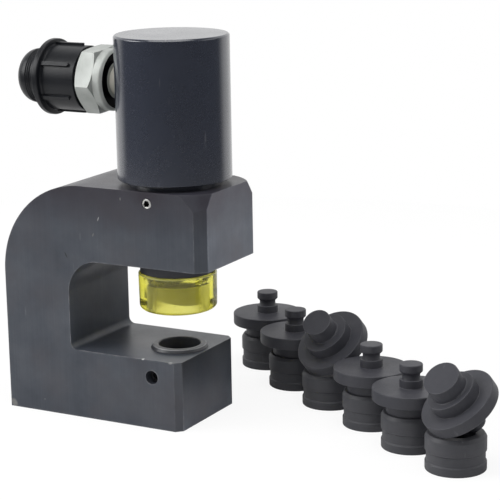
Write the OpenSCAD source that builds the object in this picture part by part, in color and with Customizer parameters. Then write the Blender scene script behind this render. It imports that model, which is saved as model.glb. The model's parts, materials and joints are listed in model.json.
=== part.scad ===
// Hydraulic hole punch: a steel C-frame with a blind cylinder, a quick coupler under a dust cap, a punch
// with a urethane stripper, a die, and six loose punch-and-die sets that stand beside it.
// Millimetres, +Z up. The origin is the middle of the frame's base, and the throat opens towards +X.

/* [Frame] */
// Wall of the frame beside the cylinder's neck
side_wall = 5; // [4:0.1:12]
// Throat depth, from the throat's wall to the punch axis
throat_depth = 55; // [45:1:80]
// Width of the back column
back_w = 45; // [35:1:70]
// Wall of the lower arm ahead of the die
lower_wall = 1.75; // [1.2:0.05:12]
// Wall of the upper arm ahead of the cylinder's neck
upper_wall = 9; // [6:0.5:18]
// Height of the lower arm
base_h = 41; // [36:1:60]
// Height of the throat
throat_h = 54; // [52:1:70]
// Height of the upper arm
upper_h = 44; // [40:1:60]
// Radius of the outer back corner
back_r = 55; // [35:1:60]
// Radius of the throat's upper corner
throat_top_r = 20; // [8:1:24]
// Radius of the throat's lower corner
throat_bottom_r = 4; // [2:0.5:7]
// Chamfer on the upright front edges of the lower arm
lower_chamfer = 3.6; // [1:0.1:6]
// Chamfer on the upright front edges of the upper arm
upper_chamfer = 5.8; // [1:0.1:8]
// How far ahead of the punch axis the turned front corners of the upper arm are centred
nose_ahead = 8; // [4:0.5:12]
// Radius of the turned front corners at the top face
nose_r = 34.5; // [33:0.5:38]
// Depth to which the turned front corners are cut
nose_depth = 12; // [6:0.5:16]
// Room in the slug hole round the die's relieved bore
slug_room = 0.4; // [0.2:0.1:1.5]

/* [Cylinder] */
// Step from the neck out to the cylinder's side
cyl_step = 6; // [3:0.5:14]
// Height of the neck that shows between frame and cylinder
neck_show = 3.2; // [1:0.1:6]
// Wall of the threaded neck round the bore
neck_wall = 4; // [3:0.1:8]
// Length of the neck inside the frame
neck_len = 27; // [22:0.5:30]
// Chamfer round the top of the cylinder
cyl_top_chamfer = 1; // [0.4:0.1:3]
// Chamfer round the bottom of the cylinder
cyl_low_chamfer = 0.6; // [0.2:0.1:2]
// Wall between the bore and the oil port above it
port_wall = 1.1; // [0.9:0.05:6]
// Height of the cylinder above the oil port's axis
port_drop = 28.3; // [20:0.1:40]
// Diameter of the oil passages
oil_d = 6; // [4:0.5:7]

/* [Ram and piston] */
// Diameter of the ram
ram_d = 32; // [28:0.5:38]
// How far the ram's end shows below the upper arm
ram_show = 1; // [0.5:0.1:3]
// Stroke of the ram
stroke = 30; // [20:1:50]
// Height of the piston between its seal and its wear ring
piston_land = 2.5; // [1.5:0.1:6]
// Diameter of the ram's spigot in the piston
spigot_d = 24; // [20:0.5:28]
// Height of that spigot
spigot_h = 5; // [3:0.5:6]
// Shank diameter of the piston screw
piston_screw_d = 10; // [8:0.5:12]
// Length of the piston screw below its head
piston_screw_l = 24; // [18:1:32]
// Diameter of the piston screw's head
piston_head_d = 16; // [14:0.5:18]
// Height of the piston screw's head
piston_head_h = 10; // [8:0.5:10.5]

/* [Seals, guide and return spring] */
// Height of the piston seal
seal_h = 5; // [4:0.5:6]
// Width of the piston seal and its backup ring, inside to outside
seal_w = 4.2; // [3:0.1:4.5]
// Height of the backup ring
backup_h = 1.5; // [1:0.1:2]
// Height of the wear ring
wear_h = 5; // [4:0.5:5.5]
// Width of the wear ring, inside to outside
wear_w = 2; // [1.5:0.1:3]
// Wall of the guide bush
bush_wall = 3; // [2:0.1:4]
// Height of the guide bush's flange
bush_flange_h = 3; // [2:0.5:5]
// Height of the lip below the wiper
lip_h = 1.2; // [0.8:0.1:2]
// Height of the rod wiper
wiper_h = 4.8; // [4:0.1:6]
// Width of the rod wiper, inside to outside
wiper_w = 4; // [3:0.1:6]
// Wire of the return spring
spring_wire = 4; // [3:0.1:5]
// Gap between the ram and the return spring
spring_play = 1.75; // [1:0.05:4]
// Gap between the return spring and the bore
spring_room = 1.25; // [0.8:0.05:3]
// Turns of the return spring
spring_turns = 4.5; // [3:0.25:5]

/* [Punch and stripper] */
// Tip diameter of the punch in the machine
tip_d = 24; // [18:0.1:26]
// Step from that tip out to the boss under the flange
boss_step = 1.95; // [1.5:0.05:5]
// Width of the punch flange outside the boss
flange_w = 7.85; // [6:0.05:12]
// Thickness of the punch flange
flange_t = 7; // [5:0.5:8]
// Height of the boss
boss_h = 7; // [5:0.1:9]
// Diameter of the stem's collar and knob
stem_d = 13; // [11:0.1:14]
// Diameter of the stem's neck
stem_neck_d = 10; // [8:0.1:10.5]
// Height of the stem's collar
collar_h = 4.7; // [4:0.1:7]
// Height of the stem's neck
stem_neck_h = 3; // [2:0.1:4]
// Height of the stem's knob
knob_h = 5.7; // [4:0.1:7]
// Length of the punch tip below the boss
tip_l = 11.5; // [10:0.5:15]
// Slope of the slanted end of a tip, in degrees
tip_slope = 11; // [4:1:14]
// How far the stripper stands out past the flange
stripper_over = 1.1; // [0.2:0.1:3]
// How far the side of the stripper draws in, top to foot
stripper_in = 0.3; // [0:0.1:1.5]
// How far the stripper reaches past the punch tip
stripper_past = 3.4; // [1:0.1:6]
// Chamfer round the foot of the stripper
stripper_chamfer = 1.8; // [0.5:0.1:3]
// Diameter of the grub screw in the ram
grub_d = 6; // [5:0.5:7]

/* [Die] */
// Wall of a die round the tip in the machine
die_wall = 4.75; // [3.7:0.05:8]
// Height of a die
die_h = 20.5; // [19:0.5:23]
// How far the die stands above the lower arm
die_proud = 2.3; // [1:0.1:3]
// Width of the bevel round a die's top
die_bevel_w = 1.3; // [0.8:0.1:2]
// Height of that bevel
die_bevel_h = 2; // [1:0.1:3]
// Height of the lock groove above the die's foot
die_lock_h = 7.9; // [7:0.1:10]
// Depth of the lock groove
die_groove_depth = 0.7; // [0.3:0.1:1]
// Diameter of the die lock screw
die_screw_d = 8; // [6:0.5:10]
// Length of the die lock screw
die_screw_l = 10; // [8:0.5:12]
// Diameter of the cylinder lock screw
lock_screw_d = 6; // [5:0.5:8]
// How far the cylinder lock screw lies below the frame's top face
lock_screw_drop = 6.7; // [5:0.1:12]

/* [Coupler] */
// Diameter of the nipple
nipple_d = 17.1; // [15:0.1:17.5]
// Length of the nipple screwed into the cylinder
nipple_in = 12; // [9:0.5:14]
// Length of the nipple that shows
nipple_show = 4; // [3:0.1:8]
// Diameter of the coupler's round collar
collar_d = 36; // [32:0.1:40]
// Length of the round collar
collar_l = 6; // [5:0.1:9]
// Step from the thread out to the hexagon's flats
hex_step = 2; // [1:0.1:5]
// Length of the hexagon
hex_l = 11.5; // [10:0.1:16]
// Turn of the hexagon, in degrees
hex_turn = 24; // [0:1:59]
// Diameter of the thread for the dust cap
thread_d = 32; // [30:0.1:33]
// Length of that thread
thread_l = 17.5; // [17:0.1:22]
// Pitch of that thread
thread_pitch = 2; // [1.5:0.1:2.5]

/* [Dust cap] */
// Wall of the cap's skirt
skirt_wall = 2.7; // [1.8:0.1:5]
// Gap between the skirt and the hexagon
skirt_gap = 1; // [0.5:0.1:2]
// How far the ribs stand out from the skirt
rib_out = 1.4; // [0.6:0.1:2]
// Width of a rib
rib_w = 2.4; // [1.5:0.1:3.5]
// How far the ribs end short of the skirt's rim
rib_short = 3.7; // [2:0.1:8]
// Number of ribs
rib_count = 6; // [4:1:12]
// Turn of the ribs, in degrees
rib_turn = 0; // [0:1:59]
// How far the cap's flange stands out from the skirt
cap_rim = 3.3; // [2.6:0.1:7]
// Thickness of the cap's floor, from the seal disc to the flange
cap_floor_t = 4; // [0.7:0.1:6]
// Thickness of the cap's flange
cap_flange_t = 3.7; // [3:0.1:5]
// Length of the plain part of the stub
stub_plain_l = 5.3; // [3:0.1:12]
// Length of the stub's thread
stub_thread_l = 4; // [3:0.1:6]
// Length of the stub's domed end
stub_dome_l = 8.9; // [3:0.1:12]
// Thickness of the seal disc in the cap
cap_seal_t = 2; // [1:0.1:2.5]

/* [Loose sets] */
// Place of the first set along X
set_x = 39.4; // [30:0.1:50]
// Place of the first set along Y
set_y = 112; // [105:1:140]
// Gap between the flanges of neighbouring sets in a straight row
set_gap = 0.65; // [0.4:0.05:20]
// Turn of the row from X towards -Y, in degrees
row_turn = 34.9; // [25:0.1:45]

/* [Hidden] */
$fn = 96;
// Radial clearance of running and screwed fits
fit = 0.05;
// Clearance between soft or loose pieces
loose = 0.3;
// Overrun of cuts past the faces that they cut
over = 1;

// Tip diameters of the loose sets, as shares of the tip in the machine
set_tip_shares = [0.44, 0.495, 0.715, 0.568, 0.642, 0.852];
// Drift of each set from the straight row, as shares of the steps along X and Y
set_drift_x_shares = [0, 0, -0.015, 0.05, 0.045, 0.035];
set_drift_y_shares = [0, -0.24, -0.22, -0.195, -0.21, -0.09];
// Sets whose punches lean on their dies
lean_sets = [2, 5];
// Tilt of those punches, in degrees
lean_angles = [40, 36.5];
// Heading of those punches, in degrees
heading_angles = [-110, -125];
// How far they lie to the side of the die's axis, as shares of the die's diameter
lean_aside_shares = [0.06, 0.045];
// How far in from the die's bevel their flanges rest
lean_in = 1.8;
// Turn of the slanted ends about those punches' own axes, in degrees
lean_turn = -107;

// Diameters round the ram, from the inside out
bush_d = ram_d + 2 * bush_wall;
wiper_d = ram_d + 2 * wiper_w;
spring_d = ram_d + 2 * spring_play + spring_wire;
bore_d = spring_d + spring_wire + 2 * spring_room;
neck_d = bore_d + 2 * neck_wall;
cyl_d = neck_d + 2 * cyl_step;
frame_t = neck_d + 2 * side_wall;

// Diameters round the punch tip, from the inside out
boss_d = tip_d + 2 * boss_step;
flange_d = boss_d + 2 * flange_w;
stripper_d = flange_d + 2 * stripper_over;
stripper_foot_d = stripper_d - 2 * stripper_in;
die_d = tip_d + 2 * die_wall;
die_clear = 0.3;
die_relief = 0.8;
slug_d = tip_d + 2 * (die_clear + die_relief + slug_room);

// Diameters round the coupler's thread
hex_af = thread_d + 2 * hex_step;
skirt_d = thread_d + 2 * (loose + skirt_wall);
rib_d = skirt_d + 2 * rib_out;
cap_flange_d = skirt_d + 2 * cap_rim;
// The stub has the coupler's own thread size
stub_d = thread_d;

// Steps from set to set
set_step_x = (flange_d + set_gap) * cos(row_turn);
set_step_y = (flange_d + set_gap) * sin(row_turn);

// Places along X
lower_reach = die_d / 2 + lower_wall;
upper_reach = neck_d / 2 + upper_wall;
base_l = back_w + throat_depth + lower_reach;
back_x = -base_l / 2;
lower_end_x = base_l / 2;
axis_x = lower_end_x - lower_reach;
throat_x = axis_x - throat_depth;
upper_end_x = axis_x + upper_reach;
// Radial run of the turned front corners for each length of drop
nose_slope_share = 0.48;

// Lands of the piston above its seal and below its wear ring
seal_top_land = 3;
wear_low_land = 3;
piston_h = wear_low_land + wear_h + piston_land + backup_h + seal_h + seal_top_land;
stripper_h = boss_h + tip_l + stripper_past;

// Heights
throat_top_z = base_h + throat_h;
frame_h = throat_top_z + upper_h;
cyl_z0 = frame_h + neck_show;
neck_z0 = frame_h - neck_len;
ram_z0 = throat_top_z - ram_show;
wiper_z0 = throat_top_z + lip_h;
bush_z0 = wiper_z0 + wiper_h;
bush_z1 = neck_z0 + bush_flange_h;
// Height of the return spring when it is pressed solid, with the share of a turn that its ground ends add
spring_end_share = 0.8;
spring_solid_h = spring_wire * (spring_turns + spring_end_share);
piston_z0 = bush_z1 + spring_solid_h + stroke;
piston_z1 = piston_z0 + piston_h;
// Gap between piston and crown at rest
stop_gap = 0.4;
bore_z1 = piston_z1 + stop_gap;
port_z = bore_z1 + port_wall + nipple_d / 2 + fit;
cyl_z1 = port_z + port_drop;
die_z0 = base_h + die_proud - die_h;
stripper_z1 = ram_z0 - flange_t;
stripper_z0 = stripper_z1 - stripper_h;
lock_screw_z = frame_h - lock_screw_drop;
die_screw_z = die_z0 + die_lock_h;

// Piston grooves
seal_z1 = piston_z1 - seal_top_land;
seal_z0 = seal_z1 - seal_h - backup_h;
wear_z0 = piston_z0 + wear_low_land;

// Punch details
stem_l = collar_h + stem_neck_h + knob_h;
flange_break = 0.6;
knob_break = 0.6;
root_w = 0.7;
root_h = 0.5;
tip_taper_share = 0.985;
ram_chamfer = 0.8;
stem_slack = 0.1;
stripper_bore_slack = 0.2;
stripper_edge = 0.9;
grub_tip_d = 1.8;
grub_tip_l = 1.6;
grub_sink = 0.3;

// Die details
die_mouth_w = 0.5;
die_mouth_h = 0.5;
die_land_h = 7;
die_foot_break = 0.6;
die_groove_w = 6.5;

// Set screw details
screw_break = 0.5;
screw_point_share = 0.45;
die_point_share = 0.1;
socket_share = 0.55;
socket_depth_share = 0.45;
lock_screw_sink = 0.2;

// Coupler places, measured outwards from the cylinder's side
collar_s0 = nipple_show;
hex_s0 = collar_s0 + collar_l;
hex_s1 = hex_s0 + hex_l;
thread_s1 = hex_s1 + thread_l;
skirt_s0 = hex_s1 + skirt_gap;
cap_seal_s0 = thread_s1 + loose;
cap_floor_s = cap_seal_s0 + cap_seal_t;
cap_flange_s0 = cap_floor_s + cap_floor_t;
cap_flange_s1 = cap_flange_s0 + cap_flange_t;
stub_thread_s0 = cap_flange_s1 + stub_plain_l;
stub_dome_s0 = stub_thread_s0 + stub_thread_l;

// Coupler details
nipple_bore_d = 7;
collar_break = 1.4;
rear_land_w = 2.4;
rear_rim_w = 0.25;
rear_recess_depth = 2.2;
hex_chamfer_share = 0.55;
thread_depth = 0.7;
thread_runout = 3;
// One thread groove: shares of its depth and of its pitch
thread_shares = [[0, 0], [1, 0.5], [0, 1]];
poppet_passage_d = 8;
poppet_passage_l = 2;
poppet_room_d = 14;
poppet_seat_d = 9;
poppet_seat_l = 2;
poppet_head_d = 12;
poppet_head_h = 4;
poppet_nose_d = 7;
poppet_nose_l = 5;
poppet_tail_d = 5;
poppet_tail_l = 5.5;
socket_d = 22;
socket_l = 7.5;
oring_wire = 2.2;
poppet_wire = 0.9;
poppet_spring_d = 9.4;
poppet_turns = 3.5;
poppet_seat_s = thread_s1 - socket_l - poppet_seat_l;
poppet_room_s = hex_s0 + poppet_passage_l + nipple_in - collar_l;

// Cap details
skirt_break = 0.5;
rib_sink = 0.6;
flange_edge = 0.8;
cap_fillet = 1.4;
stub_groove_depth = 0.5;
stub_grooves = 3;
// One groove of the stub: shares of its depth and of its length
stub_groove_shares = [[0, 0], [1, 0.3], [1, 0.7]];
dome_steps = 8;
dome_in_share = 0.6;
cap_seal_d = thread_d - thread_depth;

// Rings along one turn of a spring, and sides of its wire
coil_rings = 20;
coil_sides = 8;

// Colours
black_oxide = "#4b4f57";
barrel_black = "#33363d";
tool_black = "#46474b";
zinc = "#c9cdc8";
urethane = "#d8cc3c";
cap_black = "#2b2c2f";
bright_steel = "#b4b8bd";
bronze = "#a97b45";
seal_grey = "#3a3a3c";
seal_green = "#56705c";

// Moves a piece that is drawn about the Z axis to the punch axis
module on_axis(z = 0) {
    translate([axis_x, 0, z]) children();
}

// Points a piece that is drawn along +Z out of the cylinder's port, towards -X
module at_port() {
    translate([axis_x - cyl_d / 2, 0, port_z]) rotate([0, -90, 0]) children();
}

// Points a piece that is drawn along +Z into the front side face, at a height on the punch axis
module at_side(y, z) {
    translate([axis_x, y, z]) rotate([-90, 0, 0]) children();
}

// A plain ring about the Z axis
module ring(r_in, r_out, z0, z1) {
    rotate_extrude() translate([r_in, z0]) square([r_out - r_in, z1 - z0]);
}

// Centre line of a coil, from height z0 to z1
function coil_line(r, z0, z1, turns) =
    let (n = ceil(turns * coil_rings))
    [for (i = [0 : n]) let (a = 360 * turns * i / n) [r * cos(a), r * sin(a), z0 + (z1 - z0) * i / n]];

// Least gap between one turn of a coil and the next, measured on the points of its centre line
function coil_gap(line, wire) =
    min([for (i = [0 : len(line) - 1 - coil_rings / 2]) for (j = [i + coil_rings / 2 : len(line) - 1])
        norm(line[i] - line[j])]) - wire;

// A round wire along a coil's centre line, as one unbroken tube
module coil(line, wire) {
    n = len(line) - 1;
    s = coil_sides;
    points = [for (p = line) for (k = [0 : s - 1])
        let (b = 360 * k / s, r = norm([p[0], p[1]]), g = (r + wire / 2 * cos(b)) / r)
        [p[0] * g, p[1] * g, p[2] + wire / 2 * sin(b)]];
    walls = [for (i = [0 : n - 1]) for (k = [0 : s - 1])
        let (m = (k + 1) % s, a = i * s, b = (i + 1) * s)
        each [[a + k, a + m, b + m], [a + k, b + m, b + k]]];
    start = [for (k = [1 : s - 2]) [0, k + 1, k]];
    end = [for (k = [1 : s - 2]) [n * s, n * s + k, n * s + k + 1]];
    polyhedron(points = points, faces = concat(walls, start, end));
}

// A socket set screw along +Z, socket at z = 0, with a blunt point
module set_screw(d, l, point_d, point_l) {
    difference() {
        rotate_extrude() polygon([
            [0, 0], [d / 2 - screw_break, 0], [d / 2, screw_break],
            [d / 2, l - point_l], [point_d / 2, l], [0, l]
        ]);
        translate([0, 0, -over])
            cylinder(d = d * socket_share / cos(30), h = l * socket_depth_share + over, $fn = 6);
    }
}

// The throat, seen from the side
module throat_outline() {
    tr = throat_top_r;
    br = throat_bottom_r;
    translate([throat_x + tr, base_h]) square([upper_end_x - throat_x, throat_h]);
    translate([throat_x, base_h + br]) square([tr, throat_h - tr - br]);
    translate([throat_x + br, base_h]) square([tr - br, br]);
    translate([throat_x + tr, throat_top_z - tr]) circle(r = tr);
    translate([throat_x + br, base_h + br]) circle(r = br);
}

// The frame's outline, seen from the side
module frame_outline() {
    difference() {
        union() {
            translate([back_x, 0]) square([back_w, frame_h - back_r]);
            translate([back_x, 0]) square([base_l, base_h]);
            translate([back_x + back_r, throat_top_z]) square([upper_end_x - back_x - back_r, upper_h]);
            intersection() {
                translate([back_x, frame_h - back_r]) square(back_r);
                translate([back_x + back_r, frame_h - back_r]) circle(r = back_r);
            }
        }
        throat_outline();
    }
}

// Cuts for the upright front edges of one arm
module front_edges(x, chamfer, z0, z1) {
    for (side = [-1, 1])
        translate([x, side * frame_t / 2, z0 - over])
            cylinder(r = chamfer, h = z1 - z0 + 2 * over, $fn = 4);
}

// Cut for the turned front corners of the upper arm
module nose_corners() {
    x = axis_x + nose_ahead;
    difference() {
        translate([x, -frame_t / 2 - over, frame_h - nose_depth])
            cube([upper_reach, frame_t + 2 * over, nose_depth + over]);
        translate([x, 0, frame_h - nose_depth])
            cylinder(r1 = nose_r + nose_slope_share * nose_depth, r2 = nose_r - nose_slope_share * over,
                h = nose_depth + over);
    }
}

module c_frame() {
    color(black_oxide) difference() {
        rotate([90, 0, 0]) linear_extrude(height = frame_t, center = true) frame_outline();
        front_edges(lower_end_x, lower_chamfer, 0, base_h);
        front_edges(upper_end_x, upper_chamfer, throat_top_z, frame_h);
        nose_corners();
        on_axis(neck_z0) cylinder(d = neck_d + 2 * fit, h = neck_len + over);
        on_axis(bush_z0) cylinder(d = bush_d + 2 * fit, h = neck_z0 - bush_z0 + over);
        on_axis(wiper_z0) cylinder(d = wiper_d + 2 * fit, h = wiper_h);
        on_axis(throat_top_z - over) cylinder(d = ram_d + 2 * loose, h = lip_h + 2 * over);
        on_axis(die_z0) cylinder(d = die_d + 2 * fit, h = die_h);
        on_axis(-over) cylinder(d = slug_d, h = die_z0 + 2 * over);
        at_side(-frame_t / 2 - over, die_screw_z)
            cylinder(d = die_screw_d + 2 * fit, h = frame_t / 2 + over);
        at_side(-frame_t / 2 - over, lock_screw_z)
            cylinder(d = lock_screw_d + 2 * fit, h = frame_t / 2 + over);
    }
}

module cylinder_body() {
    r = cyl_d / 2;
    rotate_extrude() polygon([
        [0, cyl_z1], [r - cyl_top_chamfer, cyl_z1], [r, cyl_z1 - cyl_top_chamfer],
        [r, cyl_z0 + cyl_low_chamfer], [r - cyl_low_chamfer, cyl_z0],
        [neck_d / 2, cyl_z0], [neck_d / 2, neck_z0],
        [bore_d / 2, neck_z0], [bore_d / 2, bore_z1], [0, bore_z1]
    ]);
}

module cylinder_part() {
    color(barrel_black) difference() {
        on_axis() cylinder_body();
        at_port() translate([0, 0, -nipple_in]) cylinder(d = nipple_d + 2 * fit, h = nipple_in + over);
        at_port() translate([0, 0, -cyl_d / 2]) cylinder(d = oil_d, h = cyl_d / 2);
        on_axis(bore_z1 - over) cylinder(d = oil_d, h = port_z - bore_z1 + over);
    }
}

module cylinder_lock_screw() {
    l = (frame_t - neck_d) / 2 - lock_screw_sink - fit;
    color(bright_steel) at_side(-frame_t / 2 + lock_screw_sink, lock_screw_z)
        set_screw(lock_screw_d, l, lock_screw_d * screw_point_share, screw_break);
}

module ram() {
    r = ram_d / 2;
    neck_z = ram_z0 + collar_h + stem_neck_h / 2;
    color(bright_steel) difference() {
        on_axis() rotate_extrude() polygon([
            [0, ram_z0], [r - ram_chamfer, ram_z0], [r, ram_z0 + ram_chamfer], [r, piston_z0],
            [spigot_d / 2, piston_z0], [spigot_d / 2, piston_z0 + spigot_h], [0, piston_z0 + spigot_h]
        ]);
        on_axis(ram_z0 - over) cylinder(d = stem_d + 2 * stem_slack, h = stem_l + loose + over);
        at_side(-r - over, neck_z) cylinder(d = grub_d + 2 * fit, h = r + over);
        on_axis(piston_z1 - piston_head_h - loose - piston_screw_l - loose)
            cylinder(d = piston_screw_d + 2 * fit, h = piston_screw_l + piston_h);
    }
}

module piston() {
    r = bore_d / 2 - fit;
    head_z = piston_z1 - piston_head_h - loose;
    color(bright_steel) on_axis() rotate_extrude() polygon([
        [spigot_d / 2 + fit, piston_z0], [r, piston_z0],
        [r, wear_z0], [r - wear_w, wear_z0], [r - wear_w, wear_z0 + wear_h], [r, wear_z0 + wear_h],
        [r, seal_z0], [r - seal_w, seal_z0], [r - seal_w, seal_z1], [r, seal_z1],
        [r, piston_z1], [piston_head_d / 2 + loose, piston_z1], [piston_head_d / 2 + loose, head_z],
        [piston_screw_d / 2 + fit, head_z], [piston_screw_d / 2 + fit, piston_z0 + spigot_h],
        [spigot_d / 2 + fit, piston_z0 + spigot_h]
    ]);
}

module piston_screw() {
    head_z = piston_z1 - piston_head_h - loose;
    color(seal_grey) difference() {
        union() {
            on_axis(head_z) cylinder(d = piston_head_d, h = piston_head_h);
            on_axis(head_z - piston_screw_l) cylinder(d = piston_screw_d, h = piston_screw_l + over);
        }
        on_axis(head_z + piston_head_h * socket_depth_share)
            cylinder(d = piston_head_d * socket_share / cos(30), h = piston_head_h, $fn = 6);
    }
}

// A lip seal: the oil side has a groove that spreads the lips
module piston_seal() {
    r = bore_d / 2 - fit;
    z0 = seal_z0 + backup_h;
    color(seal_green) on_axis() rotate_extrude() polygon([
        [r - seal_w, z0], [r, z0], [r, seal_z1], [r - seal_w / 4, seal_z1],
        [r - seal_w / 2, seal_z1 - seal_h / 2], [r - seal_w * 3 / 4, seal_z1], [r - seal_w, seal_z1]
    ]);
}

module piston_backup_ring() {
    r = bore_d / 2 - fit;
    color("ivory") on_axis() ring(r - seal_w, r, seal_z0, seal_z0 + backup_h);
}

module piston_wear_ring() {
    r = bore_d / 2 - fit;
    color("saddlebrown") on_axis() ring(r - wear_w, r, wear_z0, wear_z0 + wear_h);
}

return_line = coil_line(spring_d / 2, bush_z1 + spring_wire / 2 + fit,
    piston_z0 - spring_wire / 2 - fit, spring_turns);
echo(return_spring_gap = coil_gap(return_line, spring_wire));

module return_spring() {
    color(bright_steel) on_axis() coil(return_line, spring_wire);
}

module guide_bush() {
    color(bronze) on_axis() rotate_extrude() polygon([
        [ram_d / 2 + fit, bush_z0], [bush_d / 2, bush_z0], [bush_d / 2, neck_z0],
        [bore_d / 2 - loose, neck_z0], [bore_d / 2 - loose, bush_z1], [ram_d / 2 + fit, bush_z1]
    ]);
}

// The wiper's lip points down and outwards from the ram
module rod_wiper() {
    r = ram_d / 2 + fit;
    lip = (wiper_d / 2 - r) / 3;
    color(seal_green) on_axis() rotate_extrude() polygon([
        [r, wiper_z0], [r + lip, wiper_z0 + lip], [r + lip, wiper_z0 + wiper_h / 2],
        [r + 2 * lip, wiper_z0 + wiper_h / 2], [r + 2 * lip, wiper_z0], [wiper_d / 2, wiper_z0],
        [wiper_d / 2, wiper_z0 + wiper_h], [r, wiper_z0 + wiper_h]
    ]);
}

// A punch with its flange's upper face at z = 0, its stem upwards and its tip downwards
module punch_body(tip) {
    low = -flange_t - boss_h;
    end = low - tip_l;
    neck_z = collar_h + stem_neck_h;
    cone = (stem_d - stem_neck_d) / 2;
    difference() {
        rotate_extrude() polygon([
            [0, stem_l], [stem_d / 2 - knob_break, stem_l], [stem_d / 2, stem_l - knob_break],
            [stem_d / 2, neck_z + cone], [stem_neck_d / 2, neck_z],
            [stem_neck_d / 2, collar_h], [stem_d / 2, collar_h], [stem_d / 2, 0],
            [flange_d / 2 - flange_break, 0], [flange_d / 2, -flange_break],
            [flange_d / 2, flange_break - flange_t], [flange_d / 2 - flange_break, -flange_t],
            [boss_d / 2, -flange_t], [boss_d / 2, low],
            [tip / 2 + root_w, low], [tip * tip_taper_share / 2, low - root_h],
            [tip / 2, end], [0, end]
        ]);
        translate([tip / 2, 0, end]) rotate([0, tip_slope, 0])
            translate([-2 * tip, -tip, -tip]) cube([3 * tip, 2 * tip, tip]);
    }
}

module punch() {
    color(tool_black) on_axis(ram_z0) punch_body(tip_d);
}

module punch_grub_screw() {
    outer = ram_d / 2 - grub_sink;
    l = outer - stem_neck_d / 2 - stem_slack;
    color(seal_grey) at_side(-outer, ram_z0 + collar_h + stem_neck_h / 2) {
        difference() {
            cylinder(d = grub_d, h = l - grub_tip_l);
            translate([0, 0, -over])
                cylinder(d = grub_d * socket_share / cos(30), h = l * socket_depth_share + over, $fn = 6);
        }
        cylinder_between(grub_tip_d, l / 2, l);
    }
}

// A round bar along +Z from z0 to z1
module cylinder_between(d, z0, z1) {
    translate([0, 0, z0]) cylinder(d = d, h = z1 - z0);
}

module stripper() {
    bore = tip_d / 2 + root_w + stripper_bore_slack;
    boss = boss_d / 2 + stem_slack;
    step_z = stripper_z1 - boss_h - stem_slack;
    top = stripper_d / 2;
    foot = stripper_foot_d / 2;
    color(urethane) on_axis() rotate_extrude() polygon([
        [bore, stripper_z0], [foot - stripper_chamfer, stripper_z0], [foot, stripper_z0 + stripper_chamfer],
        [top, stripper_z1 - stripper_edge], [top - stripper_edge, stripper_z1],
        [boss, stripper_z1], [boss, step_z], [bore, step_z]
    ]);
}

// A die with its foot at z = 0, bored for a punch tip
module die_body(tip) {
    r = die_d / 2;
    bore = tip / 2 + die_clear;
    groove = die_groove_w / 2;
    land_z = die_h - die_mouth_h - die_land_h;
    rotate_extrude() polygon([
        [bore + die_relief, 0], [r - die_foot_break, 0], [r, die_foot_break],
        [r, die_lock_h - groove], [r - die_groove_depth, die_lock_h - groove + die_groove_depth],
        [r - die_groove_depth, die_lock_h + groove - die_groove_depth], [r, die_lock_h + groove],
        [r, die_h - die_bevel_h], [r - die_bevel_w, die_h],
        [bore + die_mouth_w, die_h], [bore, die_h - die_mouth_h],
        [bore, land_z], [bore + die_relief, land_z - die_relief]
    ]);
}

module die() {
    color(tool_black) on_axis(die_z0) die_body(tip_d);
}

module die_lock_screw() {
    tip_y = die_d / 2 - die_groove_depth + loose;
    color(seal_grey) at_side(-tip_y - die_screw_l, die_screw_z)
        set_screw(die_screw_d, die_screw_l, die_screw_d * die_point_share, die_screw_d / 2);
}

module coupler_nipple() {
    color(zinc) at_port() ring(nipple_bore_d / 2, nipple_d / 2, -nipple_in, collar_s0 + nipple_in);
}

// The hexagon, with its corners turned off at both ends
module coupler_hex() {
    flat = hex_af / 2;
    corner = flat / cos(30);
    drop = (corner - flat) * hex_chamfer_share;
    intersection() {
        translate([0, 0, hex_s0]) rotate([0, 0, hex_turn]) cylinder(r = corner, h = hex_l, $fn = 6);
        rotate_extrude() polygon([
            [0, hex_s0], [flat, hex_s0], [corner, hex_s0 + drop],
            [corner, hex_s1 - drop], [flat, hex_s1], [0, hex_s1]
        ]);
    }
}

module coupler_body() {
    r = collar_d / 2;
    thread_r = thread_d / 2;
    rear_in = nipple_d / 2 + rear_land_w;
    rear_out = r - collar_break - rear_rim_w;
    threads = floor((thread_l - thread_runout - thread_pitch) / thread_pitch);
    color(zinc) at_port() difference() {
        union() {
            rotate_extrude() polygon([
                [0, collar_s0], [r - collar_break, collar_s0], [r, collar_s0 + collar_break],
                [r, hex_s0], [0, hex_s0]
            ]);
            coupler_hex();
            rotate_extrude() polygon(concat(
                [[0, hex_s1], [thread_r, hex_s1]],
                [for (i = [0 : threads - 1]) for (p = thread_shares)
                    [thread_r - p[0] * thread_depth, hex_s1 + thread_runout + (i + p[1]) * thread_pitch]],
                [[thread_r, thread_s1 - thread_depth], [thread_r - thread_depth, thread_s1], [0, thread_s1]]
            ));
        }
        ring(rear_in, rear_out, collar_s0 - over, collar_s0 + rear_recess_depth);
        cylinder_between(nipple_d + 2 * fit, collar_s0 - over, collar_s0 + nipple_in);
        cylinder_between(poppet_passage_d, collar_s0, poppet_room_s + over);
        cylinder_between(poppet_room_d, poppet_room_s, poppet_seat_s);
        cylinder_between(poppet_seat_d, poppet_seat_s - over, thread_s1);
        cylinder_between(socket_d, thread_s1 - socket_l, thread_s1 + over);
        translate([0, 0, thread_s1 - socket_l / 2]) rotate_extrude()
            translate([socket_d / 2, 0]) circle(d = oring_wire + 2 * fit);
    }
}

module coupler_poppet() {
    head_s = poppet_seat_s - poppet_head_h - fit;
    color(bright_steel) at_port() {
        cylinder_between(poppet_tail_d, head_s - poppet_tail_l, head_s + poppet_head_h / 2);
        cylinder_between(poppet_head_d, head_s, head_s + poppet_head_h);
        cylinder_between(poppet_nose_d, head_s + poppet_head_h / 2, poppet_seat_s + poppet_nose_l);
    }
}

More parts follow.
